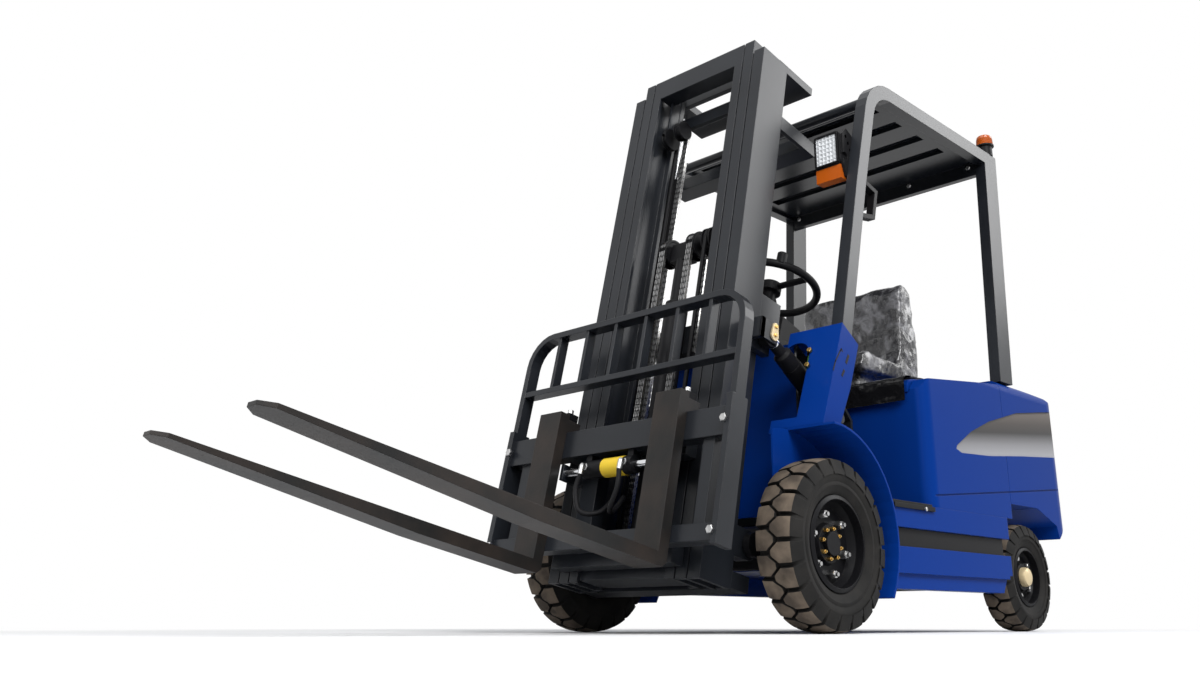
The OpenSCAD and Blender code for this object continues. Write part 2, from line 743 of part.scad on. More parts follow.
hinge_x = box_rear_x + 14;
hinge_z = cw_top_z + 14;
hood_low_x = box_front_x - 30;
function hood_z(x) =
  hood_front_z + (body_top_z - hood_front_z) * (x - hood_low_x) / (box_rear_x + 8 - hood_low_x);
module hood() {
  color(blue) placed() {
    difference() {
      side_slab(-hood_side, hood_side) polygon([
        [box_front_x + 4, hood_front_z - hood_depth], [box_front_x + 4, hood_front_z - 26],
        [box_front_x - 8, hood_front_z - 6], [hood_low_x, hood_front_z],
        [box_rear_x + 8, body_top_z], [box_rear_x + 8, hood_front_z - hood_depth]]);
      block([box_rear_x, -hood_side + wall_t, 600], [box_front_x - 8, hood_side - wall_t, hood_front_z - 12]);
    }
    for (y = [-300, 240]) {
      bar_y(hinge_x, hinge_z, 8, y, y + 60);
      block([hinge_x - 5, y, body_top_z - weld - 2], [hinge_x + 5, y + 60, hinge_z]);
    }
  }
}

seat_half_w = 0.45 * body_half_w;
module seat() {
  color(black) placed() {
    side_slab(-seat_half_w, seat_half_w) polygon([
      [-655, 905], [-672, 950], [-700, 962], [-900, 946], [-930, 1010], [-945, 1240], [-965, 1272],
      [-1005, 1275], [-1030, 1250], [-1062, 1000], [-1050, 910], [-1020, 880], [-680, 880]]);
    side_slab(-0.8 * seat_half_w, 0.8 * seat_half_w) polygon([
      [-700, hood_z(-700)], [-700, 880 + weld], [-1010, 880 + weld], [-1010, hood_z(-1010)]]);
  }
}

// Mast

lift_x = 14;
lift_y = 226;
lift_barrel_r = 30;
lift_rod_r = 18;
lift_foot = 150;
lift_barrel_top = mast_top - 330;
inner_rear = rail_rear + 20;
mid_tie_x = rail_rear - 3;
mid_tie_t = 17;
tie_back = -140;
tie_arm = 15;

// An upright channel on the left side, open toward the middle
module channel(y_out, w, x_rear, z_lo, z_hi) {
  y_in = y_out - w;
  translate([0, 0, z_lo]) linear_extrude(z_hi - z_lo) polygon([
    [x_rear, y_in], [x_rear, y_out], [rail_front, y_out], [rail_front, y_in],
    [rail_front - rail_t, y_in], [rail_front - rail_t, y_out - rail_t],
    [x_rear + rail_t, y_out - rail_t], [x_rear + rail_t, y_in]]);
}

// A wear pad at a rail's foot that runs against the next rail out
module runner(y_out) {
  block([rail_front - 70, y_out - weld, 130], [rail_front - 30, y_out + rail_gap - run_gap, 220]);
}

module outer_rail() {
  rail_in = mast_half_w - outer_w;
  color(charcoal) on_mast() difference() {
    union() {
      channel(mast_half_w, outer_w, rail_rear, rail_foot, outer_top);
      bar_y(0, pivot_z, 42, rail_in, mast_half_w);
      block([0, rail_in, pivot_z - 42], [rail_rear + rail_t, mast_half_w, pivot_z + 42]);
      block([tilt_eye_xm - 34, mast_half_w - weld, tilt_eye_zm - 46],
        [tilt_eye_xm + 62, tilt_y - 19, tilt_eye_zm + 40]);
      bar_y(tilt_eye_xm, tilt_eye_zm, 14, mast_half_w, tilt_y + 22);
    }
    bar_y(0, pivot_z, 22 + pin_fit, rail_in - through, mast_half_w + through);
  }
}
module outer_rail_left() { outer_rail(); }
module outer_rail_right() { mirror([0, 1, 0]) outer_rail(); }

// A tie that reaches back round the lift cylinders from both rails
module tie_loop(y_out, x_front, z_lo, z_hi, back, depth) {
  difference() {
    block([back, -y_out, z_lo], [x_front, y_out, z_hi]);
    block([back + depth, -y_out + tie_arm, z_lo - through],
      [x_front + through, y_out - tie_arm, z_hi + through]);
  }
}

module outer_ties() {
  color(charcoal) on_mast() {
    block([-20, -mast_half_w, 105], [rail_rear - 9, mast_half_w, lift_foot]);
    both_sides() block([rail_rear - 10, mast_half_w - outer_w, 105], [rail_rear, mast_half_w, lift_foot]);
    tie_loop(mast_half_w, rail_rear, 900, 1000, -38, 14);
    tie_loop(mast_half_w, rail_rear, lift_barrel_top + 20, lift_barrel_top + 70, tie_back, 70);
  }
}

module lift_barrels() {
  color(black) on_mast() both_sides() difference() {
    translate([lift_x, lift_y, lift_foot]) cylinder(r = lift_barrel_r, h = lift_barrel_top - lift_foot);
    translate([lift_x, lift_y, lift_foot + 6]) cylinder(r = lift_rod_r + pin_fit, h = lift_barrel_top);
  }
}

mid_tie_z = mast_top - 30;
module mid_rails() {
  color(charcoal) on_mast() {
    both_sides() {
      channel(mid_y, mid_w, rail_rear, rail_foot, mast_top);
      runner(mid_y);
    }
    for (z = [[120, 200], [mast_top - 160, mast_top - 110], [mid_tie_z - 20, mast_top]])
      block([mid_tie_x, -mid_y, z[0]], [mid_tie_x + mid_tie_t, mid_y, z[1]]);
    difference() {
      block([tie_back, -lift_y - 36, mid_tie_z], [mid_tie_x + weld, lift_y + 36, mast_top]);
      block([tie_back + 60, -lift_y + 50, mid_tie_z - through],
        [mid_tie_x - 20, lift_y - 50, mast_top + through]);
    }
  }
}

module lift_rods() {
  color(steel) on_mast() both_sides()
    translate([lift_x, lift_y, lift_foot + 10]) cylinder(r = lift_rod_r, h = mid_tie_z - lift_foot - 10);
}

ram_x = 118;
ram_r = 38;
ram_rod_r = 25;
ram_top = 1000;
module inner_rails() {
  color(charcoal) on_mast() {
    both_sides() {
      channel(inner_y, inner_w, inner_rear, rail_foot, mast_top);
      runner(inner_y);
    }
    block([inner_rear + 3, -inner_in_y - weld, 108], [rail_front - 12, inner_in_y + weld, 150]);
    block([rail_front - 60, -inner_in_y - weld, mast_top - 80], [rail_front, inner_in_y + weld, mast_top]);
  }
}

sheave_y = 60;
sheave_z = 1200;
sheave_r = 36;
chain_r = 40;
chain_w = 22;
chain_t = 8;
rear_anchor_z = 800;
module free_lift_barrel() {
  color(black) on_mast() difference() {
    union() {
      translate([ram_x, 0, 150]) cylinder(r = ram_r, h = ram_top - 150);
      block([ram_x - 46, -sheave_y - 16, rear_anchor_z], [ram_x - 20, sheave_y + 16, rear_anchor_z + 30]);
    }
    translate([ram_x, 0, 160]) cylinder(r = ram_rod_r + pin_fit, h = ram_top);
  }
}

module crosshead() {
  color(black) on_mast() {
    translate([ram_x, 0, 260]) cylinder(r = ram_rod_r, h = sheave_z - 300);
    block([ram_x - 22, -40, sheave_z - 46], [ram_x + 22, 40, sheave_z + 20]);
    bar_y(ram_x, sheave_z, 12, -sheave_y - 20, 150);
    for (y = [-sheave_y, sheave_y]) bar_y(ram_x, sheave_z, sheave_r, y - chain_w / 2 - 2, y + chain_w / 2 + 2);
    bar_y(ram_x, sheave_z, 42, 112, 140);
  }
}

front_chain_end = 530;
link_pitch = 26;
// A hanging length of leaf chain, its links wide and narrow in turn along a thinner core
module chain_strand(x, y, z_end) {
  links = floor((sheave_z - z_end) / link_pitch);
  translate([x - chain_t / 4, y - chain_w / 4, z_end]) cube([chain_t / 2, chain_w / 2, sheave_z - z_end]);
  for (i = [0 : links - 1]) {
    half_w = (i % 2 == 0 ? 0.5 : 0.36) * chain_w;
    translate([x - chain_t / 2, y - half_w, sheave_z - (i + 1) * link_pitch + 2])
      cube([chain_t, 2 * half_w, link_pitch - 4]);
  }
}

module lift_chains() {
  color(steel) on_mast() for (y = [-sheave_y, sheave_y]) {
    difference() {
      bar_y(ram_x, sheave_z, chain_r + chain_t / 2, y - chain_w / 2, y + chain_w / 2);
      bar_y(ram_x, sheave_z, chain_r - chain_t / 2, y - chain_w, y + chain_w);
      block([0, y - chain_w, sheave_z - 100], [300, y + chain_w, sheave_z]);
    }
    chain_strand(ram_x + chain_r, y, front_chain_end);
    chain_strand(ram_x - chain_r, y, rear_anchor_z + 60);
  }
}

// Carriage, side shift frame and forks

bar_front = fork_face - fork_t;
bar_rear = bar_front - 44;
carriage_front = bar_rear - 28;
carriage_rear = rail_front + face_gap;
upper_bar = [440, 522];
lower_bar = [160, 206];
shift_x = bar_rear + 20;
shift_z = 400;
shift_rod_r = 12;
shift_half = 100;
rod_half = 190;

roller_x = (inner_rear + rail_front) / 2;
roller_r = (rail_front - inner_rear) / 2 - rail_t - run_gap;
module carriage() {
  plate_y = inner_in_y - face_gap;
  color(charcoal) on_mast() {
    block([carriage_rear, -240, 430], [carriage_front, 240, 500]);
    block([carriage_rear, -240, 130], [carriage_front, 240, 190]);
    both_sides() {
      block([carriage_rear, 100, 130], [carriage_front, plate_y, 500]);
      block([90, plate_y - 19, 205], [carriage_front, plate_y, 480]);
      for (z = [252, 430]) bar_y(roller_x, z, roller_r, plate_y - weld, inner_y - rail_t - 5);
      for (y = [sheave_y - 22, sheave_y + 22])
        block([ram_x + 30, y - 5, 436], [carriage_rear + weld, y + 5, 480]);
      block([carriage_front - weld, rod_half, shift_z - 24], [shift_x + 16, rod_half + 12, shift_z + 24]);
      block([carriage_front - 20, rod_half - 20, shift_z - 24], [carriage_front, rod_half + 12, 432]);
    }
  }
}

module shift_rod() { color(steel) on_mast() bar_y(shift_x, shift_z, shift_rod_r, -rod_half, rod_half); }

module shift_frame() {
  bar_half = backrest_half_w - 20;
  color(charcoal) on_mast() {
    for (z = [upper_bar, lower_bar]) block([bar_rear, -bar_half, z[0]], [bar_front, bar_half, z[1]]);
    block([carriage_front + face_gap, -200, upper_bar[0]], [bar_rear + weld, 200, 500]);
    both_sides() block([bar_rear, 355, lower_bar[0]], [bar_front - 14, 395, upper_bar[1] - weld]);
  }
}

module shift_barrel() {
  color(black) on_mast() difference() {
    union() {
      bar_y(shift_x, shift_z, 27, -shift_half, shift_half);
      both_sides()
        block([shift_x - 14, shift_half - 26, shift_z], [shift_x + 14, shift_half - 4, upper_bar[0]]);
    }
    bar_y(shift_x, shift_z, shift_rod_r + pin_fit, -shift_half - through, shift_half + through);
  }
}

post_w = 20;
rest_corner = 95;
mid_rung = 682;
rungs = 6;
module backrest() {
  post_y = backrest_half_w - post_w / 2;
  corner_c = [post_y - rest_corner, backrest_top - post_w / 2 - rest_corner];
  half = concat([[post_y, lower_bar[0]]], arc(corner_c, rest_corner, 0, 90, 6));
  mirrored = [for (point = reversed(half)) [-point[0], point[1]]];
  rung_pitch = 2 * post_y / (rungs + 1);
  color(charcoal) on_mast() {
    front_slab(bar_rear + 4, bar_front) strip(concat(half, mirrored), post_w);
    both_sides() block([bar_rear - 8, backrest_half_w - post_w, lower_bar[0] - 12],
      [bar_front + 12, backrest_half_w, upper_bar[1] + 30]);
    block([bar_rear + 6, -post_y, mid_rung - 9], [bar_front - 2, post_y, mid_rung + 9]);
    for (i = [1 : rungs]) block([bar_rear + 8, -post_y + i * rung_pitch - 6, mid_rung],
      [bar_front - 4, -post_y + i * rung_pitch + 6, backrest_top - post_w / 2]);
  }
}

shank_top = fork_bottom + 485;
taper_start = fork_face + 0.35 * fork_len;
tip_chamfer = 30;
module fork() {
  color(black) on_mast() intersection() {
    union() {
      side_slab(fork_y - fork_w / 2, fork_y + fork_w / 2) polygon([
        [bar_front, fork_bottom + 14], [bar_front + 14, fork_bottom], [taper_start, fork_bottom],
        [fork_tip_xm, fork_tip_zm], [fork_tip_xm, fork_bottom + fork_t], [fork_face, fork_bottom + fork_t],
        [fork_face, shank_top], [bar_front, shank_top]]);
      block([bar_rear - 4, fork_y - fork_w / 2, upper_bar[1]],
        [bar_front + weld, fork_y + fork_w / 2, shank_top - 16]);
    }
    translate([0, fork_y, 0]) linear_extrude(2000) polygon([
      [0, -fork_w / 2], [fork_tip_xm - tip_chamfer, -fork_w / 2], [fork_tip_xm, -fork_w / 2 + tip_chamfer],
      [fork_tip_xm, fork_w / 2 - tip_chamfer], [fork_tip_xm - tip_chamfer, fork_w / 2], [0, fork_w / 2]]);
  }
}
module fork_left() { fork(); }
module fork_right() { mirror([0, 1, 0]) fork(); }

// Tilt cylinders

tilt_rod_r = 18;
// Play of the rod's eye, whose path only follows the mast's pin nearly
eye_play = 5;
module on_tilt() {
  placed() translate([tilt_pin_x, tilt_y, tilt_pin_z]) rotate([0, -tilt_slope, 0]) children();
}

module tilt_barrel() {
  color(black) on_tilt() difference() {
    union() {
      bar_y(0, 0, 30, -17, 17);
      translate([20, 0, 0]) rotate([0, 90, 0]) cylinder(r = 31, h = 230);
    }
    bar_y(0, 0, 16 + pin_fit, -40, 40);
    translate([44, 0, 0]) rotate([0, 90, 0]) cylinder(r = tilt_rod_r + pin_fit, h = 240);
  }
}

module tilt_rod() {
  color(steel) on_tilt() difference() {
    union() {
      translate([52, 0, 0]) rotate([0, 90, 0]) cylinder(r = tilt_rod_r, h = tilt_len - 52 - 22);
      bar_y(tilt_len, 0, 34, -14, 14);
    }
    bar_y(tilt_len, 0, 14 + eye_play, -40, 40);
  }
}
module tilt_barrel_left() { tilt_barrel(); }
module tilt_rod_left() { tilt_rod(); }
module tilt_barrel_right() { mirror([0, 1, 0]) tilt_barrel(); }
module tilt_rod_right() { mirror([0, 1, 0]) tilt_rod(); }

frame();
side_steps();
fender_left();
fender_right();
front_panel();
floor_plate();
battery_box();
battery();
side_inlays();
counterweight();
tow_pin();
drive_axle();
steer_axle();
guard_left();
guard_right();
guard_roof();
dash();
controls();
head_lamps();
signal_lamps();
tail_lamps();
beacon();
grab_handle();
front_tyre_left();
front_rim_left();
front_tyre_right();
front_rim_right();
rear_tyre_left();
rear_rim_left();
rear_tyre_right();
rear_rim_right();
knuckle_left();
knuckle_right();
steering_wheel();
hood();
seat();
outer_rail_left();
outer_rail_right();
outer_ties();
lift_barrels();
mid_rails();
lift_rods();
inner_rails();
free_lift_barrel();
crosshead();
lift_chains();
carriage();
shift_rod();
shift_frame();
shift_barrel();
backrest();
fork_left();
fork_right();
tilt_barrel_left();
tilt_rod_left();
tilt_barrel_right();
tilt_rod_right();
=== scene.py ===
"""Looks of an electric forklift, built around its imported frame. Lengths are metres, X forward and Z up."""
import json
from math import atan2, cos, hypot, pi, radians, sin, tau

import bmesh
import bpy
from mathutils import Matrix, Vector, noise


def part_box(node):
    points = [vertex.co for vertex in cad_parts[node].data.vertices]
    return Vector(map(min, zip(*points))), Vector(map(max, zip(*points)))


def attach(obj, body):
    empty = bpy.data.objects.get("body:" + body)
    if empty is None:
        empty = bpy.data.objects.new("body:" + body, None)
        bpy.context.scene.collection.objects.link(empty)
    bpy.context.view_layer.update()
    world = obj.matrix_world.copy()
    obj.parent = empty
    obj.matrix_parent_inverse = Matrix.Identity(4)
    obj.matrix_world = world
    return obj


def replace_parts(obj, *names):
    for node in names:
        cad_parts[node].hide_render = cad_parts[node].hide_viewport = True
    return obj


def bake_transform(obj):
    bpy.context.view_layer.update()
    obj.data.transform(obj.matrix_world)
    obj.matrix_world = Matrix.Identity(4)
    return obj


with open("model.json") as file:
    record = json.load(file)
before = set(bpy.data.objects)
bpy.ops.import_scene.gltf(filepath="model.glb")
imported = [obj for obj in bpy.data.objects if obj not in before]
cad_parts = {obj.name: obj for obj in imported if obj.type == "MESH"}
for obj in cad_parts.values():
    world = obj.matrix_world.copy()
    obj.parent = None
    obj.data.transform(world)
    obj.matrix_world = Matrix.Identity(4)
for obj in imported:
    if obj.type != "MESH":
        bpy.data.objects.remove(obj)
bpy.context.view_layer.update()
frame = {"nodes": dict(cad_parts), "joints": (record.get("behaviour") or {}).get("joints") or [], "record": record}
nodes = frame["nodes"]

# Camera, as fitted to the photograph
CAMERA_PLACE = (2.549, 2.212, 0.026)
CAMERA_YAW = 223.42
CAMERA_PITCH = 17.98
CAMERA_LENS = 31.88
CAMERA_SHIFT = (-0.0452, -0.0488)


def joint(name):
    """The record's joint of that name."""
    return next(j for j in frame["joints"] if j["name"] == name)


# Driving places, read from the frame
PIVOT = Vector(joint("mast_tilt")["pos_m"])
MAST_UP = Vector(joint("mid_lift")["axis"])
MAST_LEAN = atan2(-MAST_UP.x, MAST_UP.z)
FRONT_HUB = Vector(joint("front_left_spin")["pos_m"])
REAR_HUB = Vector(joint("rear_left_spin")["pos_m"])
SIDES = (("left", 1), ("right", -1))


def on_mast(x, y, z):
    """A point of the upright, lowered mast, measured from its pivot and the ground, in the part's frame."""
    ahead = Vector((cos(MAST_LEAN), 0, sin(MAST_LEAN)))
    return PIVOT + ahead * x + Vector((0, y, 0)) + MAST_UP * (z - PIVOT.z)


MAST_FRAME = (Matrix.Translation(PIVOT) @ Matrix.Rotation(-MAST_LEAN, 4, "Y")
              @ Matrix.Translation((0, 0, -PIVOT.z)))


# Materials

# Slope and span of the light and shade painted on the side inlay's hollow, along its lower edge
INLAY_SHADING_SLOPE = 0.11
INLAY_SHADING_HEIGHTS = (0.468, 0.640)


def make_material(name, colour, roughness, metallic=0.0, coat=0.0, specular=0.3):
    """A plain shader with its nodes and links at hand."""
    material = bpy.data.materials.new(name)
    material.use_nodes = True
    shader = material.node_tree.nodes["Principled BSDF"]
    shader.inputs["Base Color"].default_value = (*colour, 1)
    shader.inputs["Roughness"].default_value = roughness
    shader.inputs["Metallic"].default_value = metallic
    shader.inputs["Specular IOR Level"].default_value = specular
    shader.inputs["Coat Weight"].default_value = coat
    shader.inputs["Coat Roughness"].default_value = 0.08
    return material


def add_noise(material, scale, detail=4.0):
    """A noise in the object's own coordinates."""
    tree = material.node_tree
    place = tree.nodes.new("ShaderNodeTexCoord")
    speckle = tree.nodes.new("ShaderNodeTexNoise")
    speckle.inputs["Scale"].default_value = scale
    speckle.inputs["Detail"].default_value = detail
    tree.links.new(place.outputs["Object"], speckle.inputs["Vector"])
    return speckle


def add_ramp(material, value, stops):
    """A colour ramp over a value socket."""
    tree = material.node_tree
    ramp = tree.nodes.new("ShaderNodeValToRGB")
    while len(ramp.color_ramp.elements) < len(stops):
        ramp.color_ramp.elements.new(0.5)
    for element, (position, colour) in zip(ramp.color_ramp.elements, stops):
        element.position = position
        element.color = (*colour, 1)
    tree.links.new(value, ramp.inputs["Fac"])
    return ramp


def vary_colour(material, scale, dark, light):
    """Lets the colour drift between two tones."""
    speckle = add_noise(material, scale)
    ramp = add_ramp(material, speckle.outputs["Fac"], [(0.35, dark), (0.65, light)])
    shader = material.node_tree.nodes["Principled BSDF"]
    material.node_tree.links.new(ramp.outputs["Color"], shader.inputs["Base Color"])


def add_bump(material, scale, strength, distance=0.001, detail=4.0):
    """A fine bump all over, on edges that the shading rounds off."""
    speckle = add_noise(material, scale, detail)
    tree = material.node_tree
    bump = tree.nodes.new("ShaderNodeBump")
    bump.inputs["Strength"].default_value = strength
    bump.inputs["Distance"].default_value = distance
    edge = tree.nodes.new("ShaderNodeBevel")
    edge.samples = 4
    edge.inputs["Radius"].default_value = 0.003
    tree.links.new(edge.outputs["Normal"], bump.inputs["Normal"])
    tree.links.new(speckle.outputs["Fac"], bump.inputs["Height"])
    tree.links.new(bump.outputs["Normal"], tree.nodes["Principled BSDF"].inputs["Normal"])


def glossy_blue():
    material = make_material("glossy_blue", (0.0020, 0.030, 0.205), 0.28, 0.0, 0.0, 0.035)
    add_bump(material, 90, 0.06)
    return material


def charcoal_paint():
    material = make_material("charcoal_paint", (0.012, 0.0135, 0.017), 0.30, 0.0, 0.0, 0.28)
    vary_colour(material, 3.0, (0.009, 0.0105, 0.0135), (0.015, 0.017, 0.021))
    add_bump(material, 160, 0.12)
    return material


def fork_paint():
    material = make_material("fork_paint", (0.012, 0.011, 0.011), 0.42, 0.0, 0.0, 0.2)
    vary_colour(material, 6.0, (0.009, 0.009, 0.009), (0.024, 0.018, 0.015))
    add_bump(material, 120, 0.2)
    return material


def black_paint():
    material = make_material("black_paint", (0.006, 0.006, 0.007), 0.40, 0.0, 0.0, 0.10)
    add_bump(material, 140, 0.1)
    return material


def black_plastic():
    material = make_material("black_plastic", (0.007, 0.007, 0.008), 0.45, 0.0, 0.0, 0.10)
    add_bump(material, 260, 0.15)
    return material


def tyre_rubber():
    material = make_material("tyre_rubber", (0.010, 0.0098, 0.0095), 0.7, 0.0, 0.0, 0.15)
    vary_colour(material, 14.0, (0.007, 0.0068, 0.0066), (0.014, 0.013, 0.012))
    add_bump(material, 180, 0.25)
    return material


def lug_dust():
    material = make_material("lug_dust", (0.10, 0.078, 0.058), 0.85)
    vary_colour(material, 18.0, (0.050, 0.039, 0.030), (0.135, 0.105, 0.078))
    add_bump(material, 220, 0.35)
    return material


def chrome():
    return make_material("chrome", (0.72, 0.73, 0.75), 0.12, 1.0)


def steel():
    material = make_material("steel", (0.50, 0.50, 0.50), 0.3, 1.0)
    vary_colour(material, 40.0, (0.38, 0.38, 0.38), (0.58, 0.58, 0.58))
    return material


def chain_steel():
    material = make_material("chain_steel", (0.30, 0.28, 0.25), 0.30, 0.95)
    vary_colour(material, 60.0, (0.12, 0.11, 0.095), (0.46, 0.43, 0.38))
    return material


def brass():
    return make_material("brass", (0.55, 0.36, 0.12), 0.3, 1.0)


def hub_cream():
    return make_material("hub_cream", (0.62, 0.50, 0.30), 0.35, 0.3)


def amber_lens():
    material = make_material("amber_lens", (0.42, 0.082, 0.007), 0.16, 0.0, 0.3)
    material.node_tree.nodes["Principled BSDF"].inputs["Emission Color"].default_value = (0.9, 0.22, 0.01, 1)
    material.node_tree.nodes["Principled BSDF"].inputs["Emission Strength"].default_value = 0.05
    return material


def red_lens():
    return make_material("red_lens", (0.42, 0.012, 0.012), 0.15, 0.0, 0.5)


def reflector():
    return make_material("reflector", (0.62, 0.64, 0.66), 0.25)


def band_yellow():
    return make_material("band_yellow", (0.72, 0.50, 0.03), 0.4)


def cable_green():
    return make_material("cable_green", (0.10, 0.28, 0.02), 0.45)


def inlay_with_painted_shading():
    """Grey paint with the light and shade of its hollow painted in: dark in the middle, paling to grey along the
    lower edge and to brown above.
    """
    material = make_material("inlay_with_painted_shading", (0.06, 0.06, 0.065), 0.4)
    tree = material.node_tree
    place = tree.nodes.new("ShaderNodeTexCoord")
    split = tree.nodes.new("ShaderNodeSeparateXYZ")
    tree.links.new(place.outputs["Object"], split.inputs["Vector"])
    lean = tree.nodes.new("ShaderNodeMath")
    lean.operation = "MULTIPLY_ADD"
    lean.inputs[1].default_value = INLAY_SHADING_SLOPE
    tree.links.new(split.outputs["X"], lean.inputs[0])
    tree.links.new(split.outputs["Z"], lean.inputs[2])
    height = tree.nodes.new("ShaderNodeMapRange")
    height.inputs["From Min"].default_value = INLAY_SHADING_HEIGHTS[0]
    height.inputs["From Max"].default_value = INLAY_SHADING_HEIGHTS[1]
    tree.links.new(lean.outputs["Value"], height.inputs["Value"])
    # Painted shade in the middle of the hollow, painted light along its lower edge and its top
    stops = [(0.0, (0.36, 0.36, 0.38)), (0.30, (0.20, 0.20, 0.21)), (0.55, (0.012, 0.011, 0.011)),
             (0.75, (0.035, 0.028, 0.024)), (1.0, (0.10, 0.082, 0.072))]
    ramp = add_ramp(material, height.outputs["Result"], stops)
    tree.links.new(ramp.outputs["Color"], tree.nodes["Principled BSDF"].inputs["Base Color"])
    return material


def seat_vinyl():
    material = make_material("seat_vinyl", (0.03, 0.03, 0.033), 0.5)
    add_bump(material, 300, 0.3)
    return material


def seat_wrap():
    """Clear crinkled film over a dark seat, pale along its creases; the pale streaks are painted highlight in its
    colour.
    """
    material = make_material("seat_wrap", (0.10, 0.10, 0.11), 0.24, 0.0, 0.5, 0.5)
    tree = material.node_tree
    # Painted highlight: pale streaks in the colour stand for the glints of the crinkled film
    painted_glints = add_noise(material, 16.0, 9.0)
    painted_glints.inputs["Distortion"].default_value = 0.3
    ramp = add_ramp(material, painted_glints.outputs["Fac"], [
        (0.30, (0.010, 0.010, 0.012)), (0.48, (0.026, 0.026, 0.029)),
        (0.60, (0.13, 0.13, 0.14)), (0.72, (0.04, 0.04, 0.044))])
    tree.links.new(ramp.outputs["Color"], tree.nodes["Principled BSDF"].inputs["Base Color"])
    wrinkles = add_noise(material, 34.0, 6.0)
    wrinkles.inputs["Distortion"].default_value = 2.0
    bump = tree.nodes.new("ShaderNodeBump")
    bump.inputs["Strength"].default_value = 0.9
    bump.inputs["Distance"].default_value = 0.004
    tree.links.new(wrinkles.outputs["Fac"], bump.inputs["Height"])
    tree.links.new(bump.outputs["Normal"], tree.nodes["Principled BSDF"].inputs["Normal"])
    return material


def black_film():
    return make_material("black_film", (0.005, 0.005, 0.006), 0.16, 0.0, 0.2, 0.4)


MATERIALS = {make.__name__: make() for make in (
    glossy_blue, charcoal_paint, fork_paint, black_paint, black_plastic, tyre_rubber, lug_dust, chrome, steel,
    chain_steel, brass, hub_cream, amber_lens, red_lens, reflector, band_yellow, cable_green,
    inlay_with_painted_shading, seat_vinyl, seat_wrap, black_film)}

SLOT_MATERIALS = {
    "body_blue": "glossy_blue", "inlay_grey": "inlay_with_painted_shading",
    "mast_charcoal": "charcoal_paint", "fork_black": "fork_paint",
    "chassis_black": "black_paint", "rim_black": "black_paint", "tyre_rubber": "tyre_rubber",
    "black_plastic": "black_plastic", "seat_vinyl": "seat_vinyl", "amber_lens": "amber_lens",
    "red_lens": "red_lens", "rod_chrome": "chrome", "chain_steel": "chain_steel"}


def paint_frame():
    """Gives every node of the frame its finish."""
    for part in frame["record"]["subparts"]:
        mesh = nodes[part["node"]].data
        mesh.materials.clear()
        mesh.materials.append(MATERIALS[SLOT_MATERIALS[part["material_slot"]]])


paint_frame()


# Shapes

